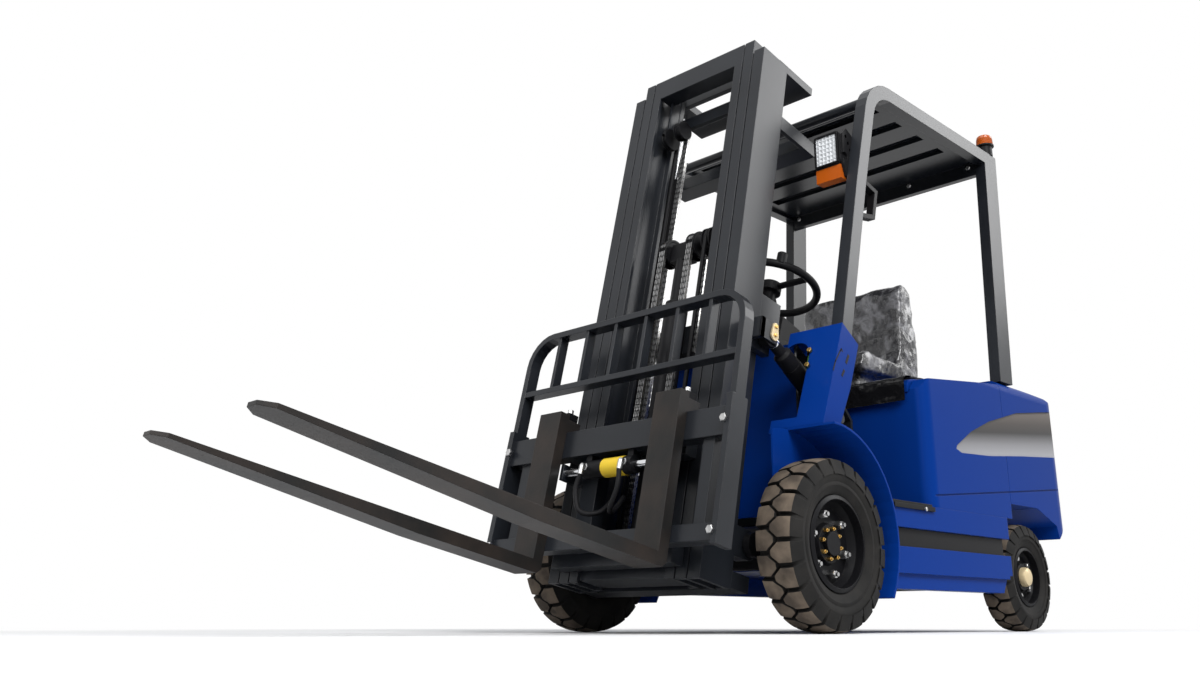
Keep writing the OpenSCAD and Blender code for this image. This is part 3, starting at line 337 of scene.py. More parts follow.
class Shape:
    """A mesh that grows piece by piece, with a material for each of its faces."""

    def __init__(self):
        self.points = []
        self.faces = []
        self.finishes = []
        self.materials = []

    def add(self, points, faces, material):
        """Takes in more points, with faces counted from the first of them."""
        start = len(self.points)
        if material not in self.materials:
            self.materials.append(material)
        finish = self.materials.index(material)
        self.points += [Vector(point) for point in points]
        for face in faces:
            self.faces.append([start + corner for corner in face])
            self.finishes.append(finish)

    def box(self, lo, hi, material, place=Matrix()):
        """A block between two corners, in the place's own axes."""
        corners = [place @ Vector((x, y, z))
                   for x in (lo[0], hi[0]) for y in (lo[1], hi[1]) for z in (lo[2], hi[2])]
        faces = [(0, 1, 3, 2), (4, 6, 7, 5), (0, 4, 5, 1), (2, 3, 7, 6), (0, 2, 6, 4), (1, 5, 7, 3)]
        self.add(corners, faces, material)

    def lathe(self, profile, place, material, count=32):
        """Turns a row of (radius, height) about the place's Z axis, closed where the radius is 0."""
        points = []
        for radius, height in profile:
            for step in range(count):
                turn = tau * step / count
                points.append(place @ Vector((radius * cos(turn), radius * sin(turn), height)))
        faces = []
        for row in range(len(profile) - 1):
            for step in range(count):
                after = (step + 1) % count
                low, high = row * count, (row + 1) * count
                faces.append((low + step, low + after, high + after, high + step))
        self.add(points, faces, material)

    def rod(self, start, end, radius, material, count=16):
        """A round bar with flat ends between two points."""
        start, end = Vector(start), Vector(end)
        turn = (end - start).to_track_quat("Z", "Y").to_matrix().to_4x4()
        length = (end - start).length
        profile = [(0, 0), (radius, 0), (radius, length), (0, length)]
        self.lathe(profile, Matrix.Translation(start) @ turn, material, count)

    def hex_head(self, place, radius, height, material):
        """A bolt's head or a nut, six sided and a little crowned."""
        profile = [(0, 0), (radius, 0), (radius, 0.8 * height), (0.8 * radius, height), (0, height)]
        self.lathe(profile, place, material, 6)

    def tube(self, route, radius, material, count=10):
        """A tube swept along a smooth row of points."""
        route = [Vector(point) for point in route]
        side = Vector((0, 0, 1)).cross(route[1] - route[0])
        if side.length < 1e-6:
            side = Vector((1, 0, 0))
        rings = []
        for index, point in enumerate(route):
            ahead = route[min(index + 1, len(route) - 1)] - route[max(index - 1, 0)]
            ahead.normalize()
            side = (side - ahead * side.dot(ahead)).normalized()
            up = ahead.cross(side)
            rings.append([point + radius * (cos(tau * k / count) * side + sin(tau * k / count) * up)
                          for k in range(count)])
        points = [point for ring in rings for point in ring]
        faces = [(row * count + k, row * count + (k + 1) % count, (row + 1) * count + (k + 1) % count,
                  (row + 1) * count + k) for row in range(len(rings) - 1) for k in range(count)]
        last = (len(rings) - 1) * count
        faces.append(tuple(reversed(range(count))))
        faces.append(tuple(range(last, last + count)))
        self.add(points, faces, material)

    def make(self, name, body, slot, smooth=35):
        """The finished piece, riding on a body if one is named, with the finishes of its faces. The slot is not
        used.
        """
        mesh = bpy.data.meshes.new(name)
        mesh.from_pydata(self.points, [], self.faces)
        for material in self.materials:
            mesh.materials.append(MATERIALS[material])
        mesh.polygons.foreach_set("material_index", self.finishes)
        tidy = bmesh.new()
        tidy.from_mesh(mesh)
        bmesh.ops.remove_doubles(tidy, verts=tidy.verts, dist=1e-6)
        bmesh.ops.dissolve_degenerate(tidy, edges=tidy.edges, dist=1e-6)
        bmesh.ops.recalc_face_normals(tidy, faces=tidy.faces)
        tidy.to_mesh(mesh)
        tidy.free()
        mesh.shade_smooth()
        mesh.set_sharp_from_angle(angle=radians(smooth))
        piece = bpy.data.objects.new(name, mesh)
        bpy.context.scene.collection.objects.link(piece)
        if body:
            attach(piece, body)
        return piece


def smooth_route(points, steps=8):
    """A smooth row of points through a few chosen ones."""
    points = [Vector(point) for point in points]
    row = []
    for index in range(len(points) - 1):
        before = points[max(index - 1, 0)]
        start, end = points[index], points[index + 1]
        after = points[min(index + 2, len(points) - 1)]
        for step in range(steps):
            t = step / steps
            row.append(0.5 * ((2 * start) + (end - before) * t
                              + (2 * before - 5 * start + 4 * end - after) * t ** 2
                              + (3 * start - before - 3 * end + after) * t ** 3))
    return row + [points[-1]]


def facing(place, direction):
    """A frame at a place whose Z axis points in a direction."""
    return Matrix.Translation(place) @ Vector(direction).to_track_quat("Z", "Y").to_matrix().to_4x4()


# Tyres

def lug_span(across, near, mid):
    """Where a lug starts across the tread, from its blunt tip to its flanks."""
    blunt, flank = 0.31, 0.94
    if across < blunt:
        return near
    if across < flank:
        return near + (mid - near) * (across - blunt) / (flank - blunt)
    return mid


def add_lug(tyre, hub, side, turn, radius, width, pitch, depth, row):
    """One tread block. Across is along the rim and out is along the axle, toward the row's own shoulder."""
    across_steps, out_steps = 8, 4
    near, mid, far = -0.045 * width, 0.135 * width, 0.43 * width
    half = 0.40 * pitch

    def spot(across, out, sunk):
        crown = 0.010 * (abs(out) / (0.5 * width)) ** 3
        r = radius - crown - sunk
        angle = turn + across / radius
        return hub + Vector((r * sin(angle), side * row * out, r * cos(angle)))

    top, foot = [], []
    for i in range(across_steps + 1):
        share = 2 * i / across_steps - 1
        start = lug_span(abs(share), near, mid)
        for k in range(out_steps + 1):
            out = start + (far - start) * k / out_steps
            top.append((share * half, out))
            foot.append((share * half * 1.06, out + (0.012 if k == out_steps else -0.003 if k == 0 else 0)))
    row_length = out_steps + 1
    points = [spot(across, out, 0) for across, out in top]
    starts = [i * row_length + k for i in range(across_steps) for k in range(out_steps)]
    faces = [(start, start + row_length, start + row_length + 1, start + 1) for start in starts]
    tyre.add(points, faces, "lug_dust")
    edge = [i * row_length for i in range(across_steps + 1)]
    edge += [across_steps * row_length + k for k in range(1, row_length)]
    edge += [i * row_length + out_steps for i in range(across_steps - 1, -1, -1)]
    edge += range(out_steps - 1, 0, -1)
    rim_points = [spot(*top[index], 0) for index in edge]
    foot_points = []
    for index in edge:
        across, out = foot[index]
        shoulder = index % row_length == out_steps
        foot_points.append(spot(across, out, 2.4 * depth if shoulder else depth))
    count = len(edge)
    walls = [(k, (k + 1) % count, count + (k + 1) % count, count + k) for k in range(count)]
    tyre.add(rim_points + foot_points, walls, "tyre_rubber")


def make_tyre(name, body, hub, side, radius, rim_radius, width, lugs, depth):
    """A solid tyre: a turned carcass with two rows of staggered tread blocks."""
    tyre = Shape()
    root = radius - depth
    axle = facing(hub, (0, side, 0))
    carcass = [
        (rim_radius, -0.36 * width), (rim_radius + 0.012, -0.43 * width),
        (rim_radius + 0.030, -0.455 * width),
        (root - 0.045, -0.485 * width), (root - 0.036, -0.50 * width), (root - 0.024, -0.498 * width),
        (root - 0.012, -0.455 * width), (root - 0.003, -0.38 * width), (root, 0),
        (root - 0.003, 0.38 * width), (root - 0.012, 0.455 * width), (root - 0.024, 0.498 * width),
        (root - 0.036, 0.50 * width), (root - 0.045, 0.485 * width), (rim_radius + 0.036, 0.462 * width),
        (rim_radius + 0.032, 0.475 * width), (rim_radius + 0.026, 0.475 * width),
        (rim_radius + 0.022, 0.452 * width),
        (rim_radius + 0.010, 0.43 * width), (rim_radius, 0.36 * width), (rim_radius, -0.36 * width)]
    tyre.lathe(carcass, axle, "tyre_rubber", 96)
    pitch = tau * radius / lugs
    for index in range(lugs):
        for row, shift in ((1, 0), (-1, 0.5)):
            add_lug(tyre, hub, side, tau * (index + shift) / lugs, radius, width, pitch, depth, row)
    piece = tyre.make(name, body, "tyre_rubber", 30)
    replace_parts(piece, name.replace("_look", ""))


def make_tyres():
    """The four tyres, sized from the frame's own plain ones."""
    for side_name, side in SIDES:
        for end, hub, lugs, depth in (("front", FRONT_HUB, 22, 0.015), ("rear", REAR_HUB, 20, 0.012)):
            node = f"{end}_tyre_{side_name}"
            lo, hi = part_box(node)
            rim_lo, rim_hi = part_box(f"{end}_rim_{side_name}")
            make_tyre(f"{node}_look", f"{end}_wheel_{side_name}", Vector((hub.x, side * hub.y, hub.z)), side,
                      (hi[2] - lo[2]) / 2, (rim_hi[2] - rim_lo[2]) / 2, hi[1] - lo[1], lugs, depth)


make_tyres()


# Wheel trim

def make_wheel_trim():
    """Nuts and hub bolts of the front wheels, and the hub caps and nuts of the rear wheels."""
    for side_name, side in SIDES:
        trim = Shape()
        hub = Vector((FRONT_HUB.x, side * FRONT_HUB.y, FRONT_HUB.z))
        face, boss_face = 0.008, 0.024
        rings = ((0.082, face, 6, 0.013, "steel"), (0.042, boss_face, 8, 0.0065, "brass"))
        for ring, height, count, size, finish in rings:
            for index in range(count):
                turn = tau * (index + 0.3) / count
                spot = hub + Vector((ring * cos(turn), side * height, ring * sin(turn)))
                trim.hex_head(facing(spot, (0, side, 0)), size, 1.5 * size, finish)
                trim.rod(spot, spot + Vector((0, side * 2.1 * size, 0)), 0.45 * size, finish, 10)
        trim.make(f"front_nuts_{side_name}", f"front_wheel_{side_name}", "chain_steel")
        cap = Shape()
        hub = Vector((REAR_HUB.x, side * REAR_HUB.y, REAR_HUB.z))
        dome = [(0.034, 0.028), (0.034, 0.040), (0.030, 0.049), (0.018, 0.055), (0, 0.057)]
        cap.lathe(dome, facing(hub, (0, side, 0)), "hub_cream", 28)
        count, ring, face = 5, 0.068, 0.011
        for index in range(count):
            turn = tau * index / count
            spot = hub + Vector((ring * cos(turn), side * face, ring * sin(turn)))
            cap.hex_head(facing(spot, (0, side, 0)), 0.011, 0.016, "steel")
        cap.make(f"rear_cap_{side_name}", f"rear_wheel_{side_name}", "chain_steel")


make_wheel_trim()


# Lift chains

# A chain's links, its roller's place on the mast and its run round the roller
CHAIN_PITCH = 0.0105
CHAIN_HALF_W = 0.011
PLATE_H = 0.013
PLATE_T = 0.0021
SHEAVE = Vector((0.118, 0.060, 1.200))
CHAIN_R = 0.040

# Chain that lifts the inner stage: its place across the mast, its run round its pulley, the pulley's height
STAGE_CHAIN_Y = -0.104
STAGE_CHAIN_R = 0.030
STAGE_PULLEY_Z = 1.720

# Hose pulleys at the top of the inner mast, and the hose sheave on the crosshead
HOSE_R = 0.007
HOSE_PULLEY_Y = 0.156
HOSE_PULLEY_Z = 1.70
HOSE_PULLEY_RUN = 0.038
HOSE_SHEAVE_Y = 0.126
HOSE_SHEAVE_RUN = 0.042
HANGER_TOP_Z = 1.86


def add_plate(chain, middle, along, normal, across, length, finish):
    """One link plate: a flat eye shape between two pins."""
    outline = []
    end_r = PLATE_H / 2
    for centre, start in ((length / 2, -pi / 2), (-length / 2, pi / 2)):
        for step in range(5):
            turn = start + pi * step / 4
            outline.append((centre + end_r * cos(turn), end_r * sin(turn)))
    count = len(outline)
    half = across * (PLATE_T / 2)
    near = [middle + along * a + normal * n - half for a, n in outline]
    far = [middle + along * a + normal * n + half for a, n in outline]
    walls = [(k, (k + 1) % count, count + (k + 1) % count, count + k) for k in range(count)]
    chain.add(near + far, walls + [tuple(reversed(range(count))), tuple(range(count, 2 * count))], finish)


def add_chain(chain, route):
    """A leaf chain along a row of pin places, with its plates in turns of four of bright steel and three painted
    dark as the shade between them.
    """
    across = Vector((0, 1, 0))
    for index in range(len(route) - 1):
        run = route[index + 1] - route[index]
        along = run.normalized()
        normal = along.cross(across)
        middle = (route[index] + route[index + 1]) / 2
        # The three-plate links are black: painted shade between the steel plates of the four-plate links
        offsets, finish = (-0.0066, 0.0, 0.0066), "black_paint"
        if index % 2:
            offsets, finish = (-0.0098, -0.0033, 0.0033, 0.0098), "steel"
        for offset in offsets:
            add_plate(chain, middle + across * offset, along, normal, across, run.length, finish)
    for pin in route:
        chain.rod(pin - across * CHAIN_HALF_W, pin + across * CHAIN_HALF_W, 0.0026, "chain_steel", 8)


def strand(x, y, z_from, z_to):
    """Pin places along an upright strand of the mast."""
    count = max(1, round(abs(z_to - z_from) / CHAIN_PITCH))
    return [on_mast(x, y, z_from + (z_to - z_from) * step / count) for step in range(count + 1)]


def make_lift_chains():
    """Two chains over the crosshead, each in three runs with its anchor, and the chain of the inner stage."""
    front_foot, rear_foot, anchor_foot, stage_foot = 0.475, 0.830, 0.425, 0.150
    for side_name, side in SIDES:
        y = side * SHEAVE.y
        front_x, rear_x = SHEAVE.x + CHAIN_R, SHEAVE.x - CHAIN_R
        front = Shape()
        add_chain(front, strand(front_x, y, front_foot, SHEAVE.z))
        piece = front.make(f"chain_front_{side_name}", None, "chain_steel")
        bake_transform(piece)
        rear = Shape()
        add_chain(rear, strand(rear_x, y, rear_foot, SHEAVE.z))
        piece = rear.make(f"chain_rear_{side_name}", None, "chain_steel")
        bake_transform(piece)
        wrap = Shape()
        steps = round(pi * CHAIN_R / CHAIN_PITCH)
        turns = [pi * step / steps for step in range(steps + 1)]
        add_chain(wrap, [on_mast(SHEAVE.x + CHAIN_R * cos(turn), y, SHEAVE.z + CHAIN_R * sin(turn))
                         for turn in turns])
        piece = wrap.make(f"chain_wrap_{side_name}", "lift_head", "chain_steel")
        if side > 0:
            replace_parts(piece, "lift_chains")
        clevis = Shape()
        clevis.rod(on_mast(front_x, y, anchor_foot), on_mast(front_x, y, front_foot), 0.008, "steel", 12)
        for nut_z in (0.424, 0.474):
            clevis.hex_head(facing(on_mast(front_x, y, nut_z), MAST_UP), 0.014, 0.012, "steel")
        clevis.make(f"chain_anchor_{side_name}", "lift_carriage", "chain_steel")
    stage = Shape()
    add_chain(stage, strand(SHEAVE.x - STAGE_CHAIN_R, STAGE_CHAIN_Y, stage_foot, STAGE_PULLEY_Z))
    stage.make("stage_chain", "inner_mast", "chain_steel")


make_lift_chains()


def make_sheaves():
    """Flanges of the crosshead's rollers, and the pulleys at the top of the inner mast."""
    wheels = Shape()
    sheaves = ((-SHEAVE.y, 0.048, 0.014), (SHEAVE.y, 0.048, 0.014), (HOSE_SHEAVE_Y, 0.049, 0.015))
    for y, radius, half in sheaves:
        for face in (-1, 1):
            place = facing(on_mast(SHEAVE.x, y + face * half, SHEAVE.z), (0, face, 0))
            plate = [(0, 0.003), (0.018, 0.003), (0.022, 0.0015), (radius - 0.010, 0.0015),
                     (radius - 0.008, 0.003), (radius, 0.003), (radius, -0.002), (0, -0.002)]
            wheels.lathe(plate, place, "black_paint", 36)
    wheels.lathe([(0, 0), (0.014, 0), (0.014, 0.0012), (0, 0.0015)],
                 facing(on_mast(SHEAVE.x, HOSE_SHEAVE_Y + 0.018, SHEAVE.z), (0, 1, 0)), "steel", 20)
    wheels.make("sheave_flanges", "lift_head", "chassis_black")
    pulleys = Shape()
    for side in (-1, 1):
        y = side * HOSE_PULLEY_Y
        half = 0.009
        place = facing(on_mast(SHEAVE.x, y - half, HOSE_PULLEY_Z), (0, 1, 0))
        wheel = [(0, 0), (0.040, 0), (0.040, 0.003), (0.033, 0.006), (0.033, 0.012), (0.040, 0.015),
                 (0.040, 0.018), (0, 0.018)]
        pulleys.lathe(wheel, place, "black_paint", 36)
        hanger = (0.095, y - 0.004, HOSE_PULLEY_Z), (0.141, y + 0.004, HANGER_TOP_Z)
        pulleys.box(*hanger, "charcoal_paint", MAST_FRAME)
        bolt = facing(on_mast(SHEAVE.x, y + side * half, HOSE_PULLEY_Z), (0, side, 0))
        pulleys.hex_head(bolt, 0.012, 0.008, "steel")
    outer_y = STAGE_CHAIN_Y - 0.015
    wheel = [(0, 0), (0.034, 0), (0.034, 0.003), (0.024, 0.004), (0.024, 0.026), (0.034, 0.027),
             (0.034, 0.030), (0, 0.030)]
    pulleys.lathe(wheel, facing(on_mast(SHEAVE.x, outer_y, STAGE_PULLEY_Z), (0, 1, 0)), "black_paint", 36)
    hanger_foot = 1.70
    hanger = (0.108, outer_y - 0.004, hanger_foot), (0.128, outer_y, HANGER_TOP_Z)
    pulleys.box(*hanger, "charcoal_paint", MAST_FRAME)
    pulleys.make("top_pulleys", "inner_mast", "chassis_black")


make_sheaves()


# Hoses

def make_mast_hoses():
    """Hoses from the top pulleys down the mast, and over the crosshead's pulley to the carriage."""
    turns = [pi * step / 10 for step in range(11)]
    mast_foot, carriage_foot, supply_foot = 0.30, 0.47, 0.60
    for side_name, side in SIDES:
        y = side * HOSE_PULLEY_Y
        hose = Shape()
        run = HOSE_PULLEY_RUN
        route = [on_mast(SHEAVE.x + run * cos(turn), y, HOSE_PULLEY_Z + run * sin(turn)) for turn in turns]
        route.append(on_mast(SHEAVE.x - run, y, mast_foot))
        hose.tube(route, HOSE_R, "black_plastic")
        hose.make(f"mast_hose_{side_name}", "inner_mast", "black_plastic")
    y, run = HOSE_SHEAVE_Y, HOSE_SHEAVE_RUN
    front_x, rear_x = SHEAVE.x + run, SHEAVE.x - run
    down = Shape()
    top, foot = on_mast(front_x, y, SHEAVE.z), on_mast(front_x, y, carriage_foot)
    down.tube([top, foot], HOSE_R, "black_plastic")
    piece = down.make("carriage_hose", None, "black_plastic")
    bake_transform(piece)
    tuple(foot)
    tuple(top)
    over = Shape()
    route = [on_mast(SHEAVE.x + run * cos(turn), y, SHEAVE.z + run * sin(turn)) for turn in turns]
    over.tube(route, HOSE_R, "black_plastic")
    over.make("pulley_hose", "lift_head", "black_plastic")
    back = Shape()
    top, foot = on_mast(rear_x, y, SHEAVE.z), on_mast(rear_x, y, supply_foot)
    back.tube([top, foot], HOSE_R, "black_plastic")
    piece = back.make("supply_hose", None, "black_plastic")
    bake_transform(piece)
    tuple(foot)
    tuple(top)


make_mast_hoses()


# Smaller fittings

def at(x, y, z):
    """A point measured ahead of the front axle, in the part's frame."""
    return Vector((FRONT_HUB.x + x, y, z))


def mast_box(node):
    """The lowest and highest corner of a node in the upright mast's frame."""
    to_mast = MAST_FRAME.inverted() @ nodes[node].matrix_world
    corners = [to_mast @ vertex.co for vertex in nodes[node].data.vertices]
    lowest = Vector([min(corner[axis] for corner in corners) for axis in range(3)])
    highest = Vector([max(corner[axis] for corner in corners) for axis in range(3)])
    return lowest, highest


MAST_AHEAD = (MAST_FRAME.to_3x3() @ Vector((1, 0, 0))).normalized()


def make_beacon():
    """A ribbed amber lens on a black base."""
    lowest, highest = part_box("beacon")
    foot = Matrix.Translation(((lowest[0] + highest[0]) / 2, (lowest[1] + highest[1]) / 2, lowest[2]))
    beacon = Shape()
    base = [(0, 0), (0.028, 0), (0.028, 0.040), (0.036, 0.042), (0.036, 0.048), (0, 0.048)]
    beacon.lathe(base, foot, "black_plastic", 40)
    lens = [(0.033, 0.048)]
    for rib in range(6):
        height = 0.050 + 0.005 * rib
        lens += [(0.034 - 0.0004 * rib, height), (0.032 - 0.0004 * rib, height + 0.0025)]
    lens += [(0.030, 0.084), (0.026, 0.0888), (0, 0.0898)]
    beacon.lathe(lens, foot, "amber_lens", 40)
    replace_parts(beacon.make("beacon_lamp", "chassis", "amber_lens"), "beacon")


make_beacon()

# A work lamp's lens opening, and how it is split into facets
LENS_HALF_W = 0.043
LENS_HALF_H = 0.053
LENS_COLUMNS = 6
LENS_ROWS = 7


def make_lamp_lens(name, middle):
    """A lens of small hollow facets in a raised black rim, facing forward."""
    lens = Shape()
    width = 2 * LENS_HALF_W / LENS_COLUMNS
    height = 2 * LENS_HALF_H / LENS_ROWS
    facet_front, facet_back = middle.x + 0.004, middle.x + 0.0005
    rim_front, rim_half = middle.x + 0.007, 0.003
    for column in range(LENS_COLUMNS):
        for row in range(LENS_ROWS):
            y = middle.y - LENS_HALF_W + column * width
            z = middle.z - LENS_HALF_H + row * height
            corners = [(facet_front, y + a * width, z + b * height)
                       for a, b in ((0, 0), (1, 0), (1, 1), (0, 1))]
            corners.append((facet_back, y + width / 2, z + (0.3 + 0.4 * (column % 2)) * height))
            lens.add(corners, [(0, 1, 4), (1, 2, 4), (2, 3, 4), (3, 0, 4)], "reflector")
    for sign in (-1, 1):
        edge_y = middle.y + sign * LENS_HALF_W
        edge_z = middle.z + sign * LENS_HALF_H
        lens.box((middle.x, edge_y - rim_half, middle.z - LENS_HALF_H),
                 (rim_front, edge_y + rim_half, middle.z + LENS_HALF_H), "black_plastic")
        lens.box((middle.x, middle.y - LENS_HALF_W, edge_z - rim_half),
                 (rim_front, middle.y + LENS_HALF_W, edge_z + rim_half), "black_plastic")
    lens.make(name, "chassis", "black_plastic", 10)


def make_lamp_lenses():
    """A lens on the face of each work lamp."""
    lowest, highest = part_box("head_lamps")
    bracket_drop, bracket_t, lamp_half_w, lamp_half_h = 0.046, 0.008, 0.051, 0.061
    for side_name, side in SIDES:
        y = side * (highest[1] - bracket_t - lamp_half_w)
        z = lowest[2] + bracket_drop + lamp_half_h
        make_lamp_lens(f"lamp_lens_{side_name}", Vector((highest[0], y, z)))


make_lamp_lenses()


def make_cowl_fittings():
    """Black strips painted as the shade in the slots of each cowl's side, the bolts on its slope, and the cable
    inside it.
    """
    slope = Vector((0.307, 0, 0.129)).normalized()
    cowl_y, half_depth = 0.500, 0.0005
    for side_name, side in SIDES:
        # The slots are thin black strips on the cowl's side: painted shade, not openings
        slot_shade = Shape()
        slots = [[(-0.056, 0.735), (-0.070, 0.764), (-0.098, 0.800), (-0.104, 0.806), (-0.108, 0.800)],
                 [(-0.127, 0.770), (-0.139, 0.790)], [(-0.101, 0.726), (-0.111, 0.740)]]
        for route, half in zip(slots, (0.0024, 0.0052, 0.0044)):
            for (x_from, z_from), (x_to, z_to) in zip(route, route[1:]):
                length = hypot(x_to - x_from, z_to - z_from)
                turn = atan2(z_to - z_from, x_to - x_from)
                place = Matrix.Translation(at(x_from, side * cowl_y, z_from)) @ Matrix.Rotation(-turn, 4, "Y")
                slot_shade.box((-half, -half_depth, -half), (length + half, half_depth, half), "black_paint", place)
        slot_shade.make(f"cowl_slot_shade_{side_name}", "chassis", "chassis_black")
        bolts = Shape()
        for x, y, z in ((-0.086, 0.400, 0.814), (-0.064, 0.404, 0.764)):
            bolts.hex_head(facing(at(x, side * y, z), slope), 0.009, 0.009, "brass")
        bolts.make(f"cowl_bolts_{side_name}", "chassis", "chain_steel")
        cable = Shape()
        route = [(-0.150, 0.352, 0.815), (-0.128, 0.362, 0.790), (-0.112, 0.368, 0.745),
                 (-0.100, 0.370, 0.690)]
        cable.tube(smooth_route([at(x, side * y, z) for x, y, z in route]), 0.005, "cable_green")
        cable.make(f"cowl_cable_{side_name}", "chassis", "black_plastic")


make_cowl_fittings()


def make_panel_skin():
    """Blue paint on the front panel's forward face."""
    panel = nodes["front_panel"]
    skin = Shape()
    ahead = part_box("front_panel")[1][0]
    near, lift = 0.0001, Vector((0.001, 0, 0))
    for face in panel.data.polygons:
        corners = [panel.matrix_world @ panel.data.vertices[index].co for index in face.vertices]
        if min(corner.x for corner in corners) > ahead - near:
            points = [corner + lift for corner in corners]
            skin.add(points, [tuple(range(len(points)))], "glossy_blue")
    skin.make("panel_skin", "chassis", "body_blue")


make_panel_skin()


def make_body_bolts():
    """Bolts at the end of the side trims and on the roof's rear bar."""
    bolts = Shape()
    trim_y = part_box("side_steps")[1][1]
    for _, side in SIDES:
        bolts.hex_head(facing(at(-0.515, side * trim_y, 0.366), Vector((0, side, 0))), 0.007, 0.005, "steel")
        for y in (0.148, 0.418):
            bolts.hex_head(facing(at(-1.228, side * y, 1.780), Vector((1, 0, 0))), 0.010, 0.008, "steel")
    bolts.make("body_bolts", "chassis", "chain_steel")


make_body_bolts()


def make_fork_frame_fittings():
    """Bolts through the backrest's posts, and a latch on each fork's top."""
    highest = mast_box("backrest")[1]
    bar_heights = (0.480, 0.183)
    fittings = Shape()
    for _, side in SIDES:
        for z in bar_heights:
            spot = on_mast(highest.x, side * (highest.y - 0.020), z)
            fittings.hex_head(facing(spot, MAST_AHEAD), 0.012, 0.010, "steel")
    fittings.make("backrest_bolts", "fork_frame", "chain_steel")
    for side_name, _ in SIDES:
        low, high = mast_box(f"fork_{side_name}")
        middle = (low.y + high.y) / 2
        latch = Shape()
        latch.box((low.x - 0.012, middle - 0.018, high.z - 0.002),
                  (low.x + 0.026, middle + 0.018, high.z + 0.020), "black_paint", MAST_FRAME)
        pin_x = low.x + 0.007
        latch.rod(on_mast(pin_x, middle, high.z + 0.018), on_mast(pin_x, middle, high.z + 0.036), 0.009,
                  "steel", 16)
        latch.make(f"fork_latch_{side_name}", "fork_frame", "fork_black")


make_fork_frame_fittings()


# Radius of a tilt rod's eye, of the sleeve over the rod, and of the sleeve's neck by the eye
TILT_EYE_R = 0.034
TILT_SLEEVE_R = 0.029
TILT_NECK_R = 0.0187


def tilt_ends(side_name):
    """The middle of a tilt cylinder's rear pin and of its rod's eye."""
    pin = Vector(joint(f"tilt_case_{side_name}_swing")["pos_m"])
    lowest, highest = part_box(f"tilt_rod_{side_name}")
    pin.y = (lowest[1] + highest[1]) / 2
    return pin, Vector((highest[0] - TILT_EYE_R, pin.y, highest[2] - TILT_EYE_R))


def make_tilt_sleeves():
    """A black sleeve over each tilt rod, and a black band round the eye."""
    barrel_end = 0.246
    for side_name, side in SIDES:
        pin, eye = tilt_ends(side_name)
        along = (eye - pin).normalized()
        start, stop = pin + along * barrel_end, eye - along * TILT_EYE_R
        length = (stop - start).length
        sleeve = Shape()
        profile = [(TILT_NECK_R, 0), (TILT_SLEEVE_R, 0), (TILT_SLEEVE_R, length / 2),
                   (TILT_SLEEVE_R, length - 0.044), (TILT_NECK_R, length - 0.036), (TILT_NECK_R, length)]
        sleeve.lathe(profile, facing(start, along), "black_plastic", 32)
        piece = sleeve.make(f"tilt_sleeve_{side_name}", None, "black_plastic")
        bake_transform(piece)
        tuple(start)
        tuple(stop)
        band = Shape()
        inner, outer, half = TILT_EYE_R - 0.012, TILT_EYE_R + 0.0005, 0.0145
        ring = [(inner, -half), (outer, -half), (outer, half), (inner, half)]
        band.lathe(ring, facing(eye, (0, side, 0)), "black_paint", 40)
        band.make(f"tilt_eye_band_{side_name}", f"tilt_ram_{side_name}", "chassis_black")


make_tilt_sleeves()


def make_tilt_plates():
    """A cheek plate outside each tilt rod's eye, with a plain keeper and its bolts."""
    inner, outer, web_inner = 0.0155, 0.0215, 0.019
    back, web, front, bottom, top = -0.018, 0.045, 0.062, -0.024, 0.040
    keeper_t, keeper_r, keeper_tip_r, keeper_rise = 0.005, 0.017, 0.012, 0.028
    for side_name, side in SIDES:
        eye = tilt_ends(side_name)[1]
        place = Matrix.Translation(eye) @ MAST_FRAME.to_3x3().to_4x4()
        plate = Shape()
        low, high = sorted((side * inner, side * outer))
        plate.box((back, low, bottom), (front, high, top), "charcoal_paint", place)
        low, high = sorted((-side * web_inner, side * outer))
        plate.box((web, low, bottom), (front, high, top), "charcoal_paint", place)
        turns = [pi * step / 10 for step in range(11)]
        outline = [(keeper_r * cos(pi + turn), keeper_r * sin(pi + turn)) for turn in turns]
        outline += [(keeper_tip_r * cos(turn), keeper_rise + keeper_tip_r * sin(turn)) for turn in turns]
        count = len(outline)
        near = [place @ Vector((a, side * outer, b)) for a, b in outline]
        far = [place @ Vector((a, side * (outer + keeper_t), b)) for a, b in outline]
        walls = [(k, (k + 1) % count, count + (k + 1) % count, count + k) for k in range(count)]
        plate.add(near + far, walls + [tuple(range(count, 2 * count))], "hub_cream")
        for rise in (0, keeper_rise):
            spot = place @ Vector((0, side * (outer + keeper_t), rise))
            plate.hex_head(facing(spot, (0, side, 0)), 0.006, 0.005, "brass")
        plate.make(f"tilt_plate_{side_name}", "outer_mast", "mast_charcoal")


make_tilt_plates()


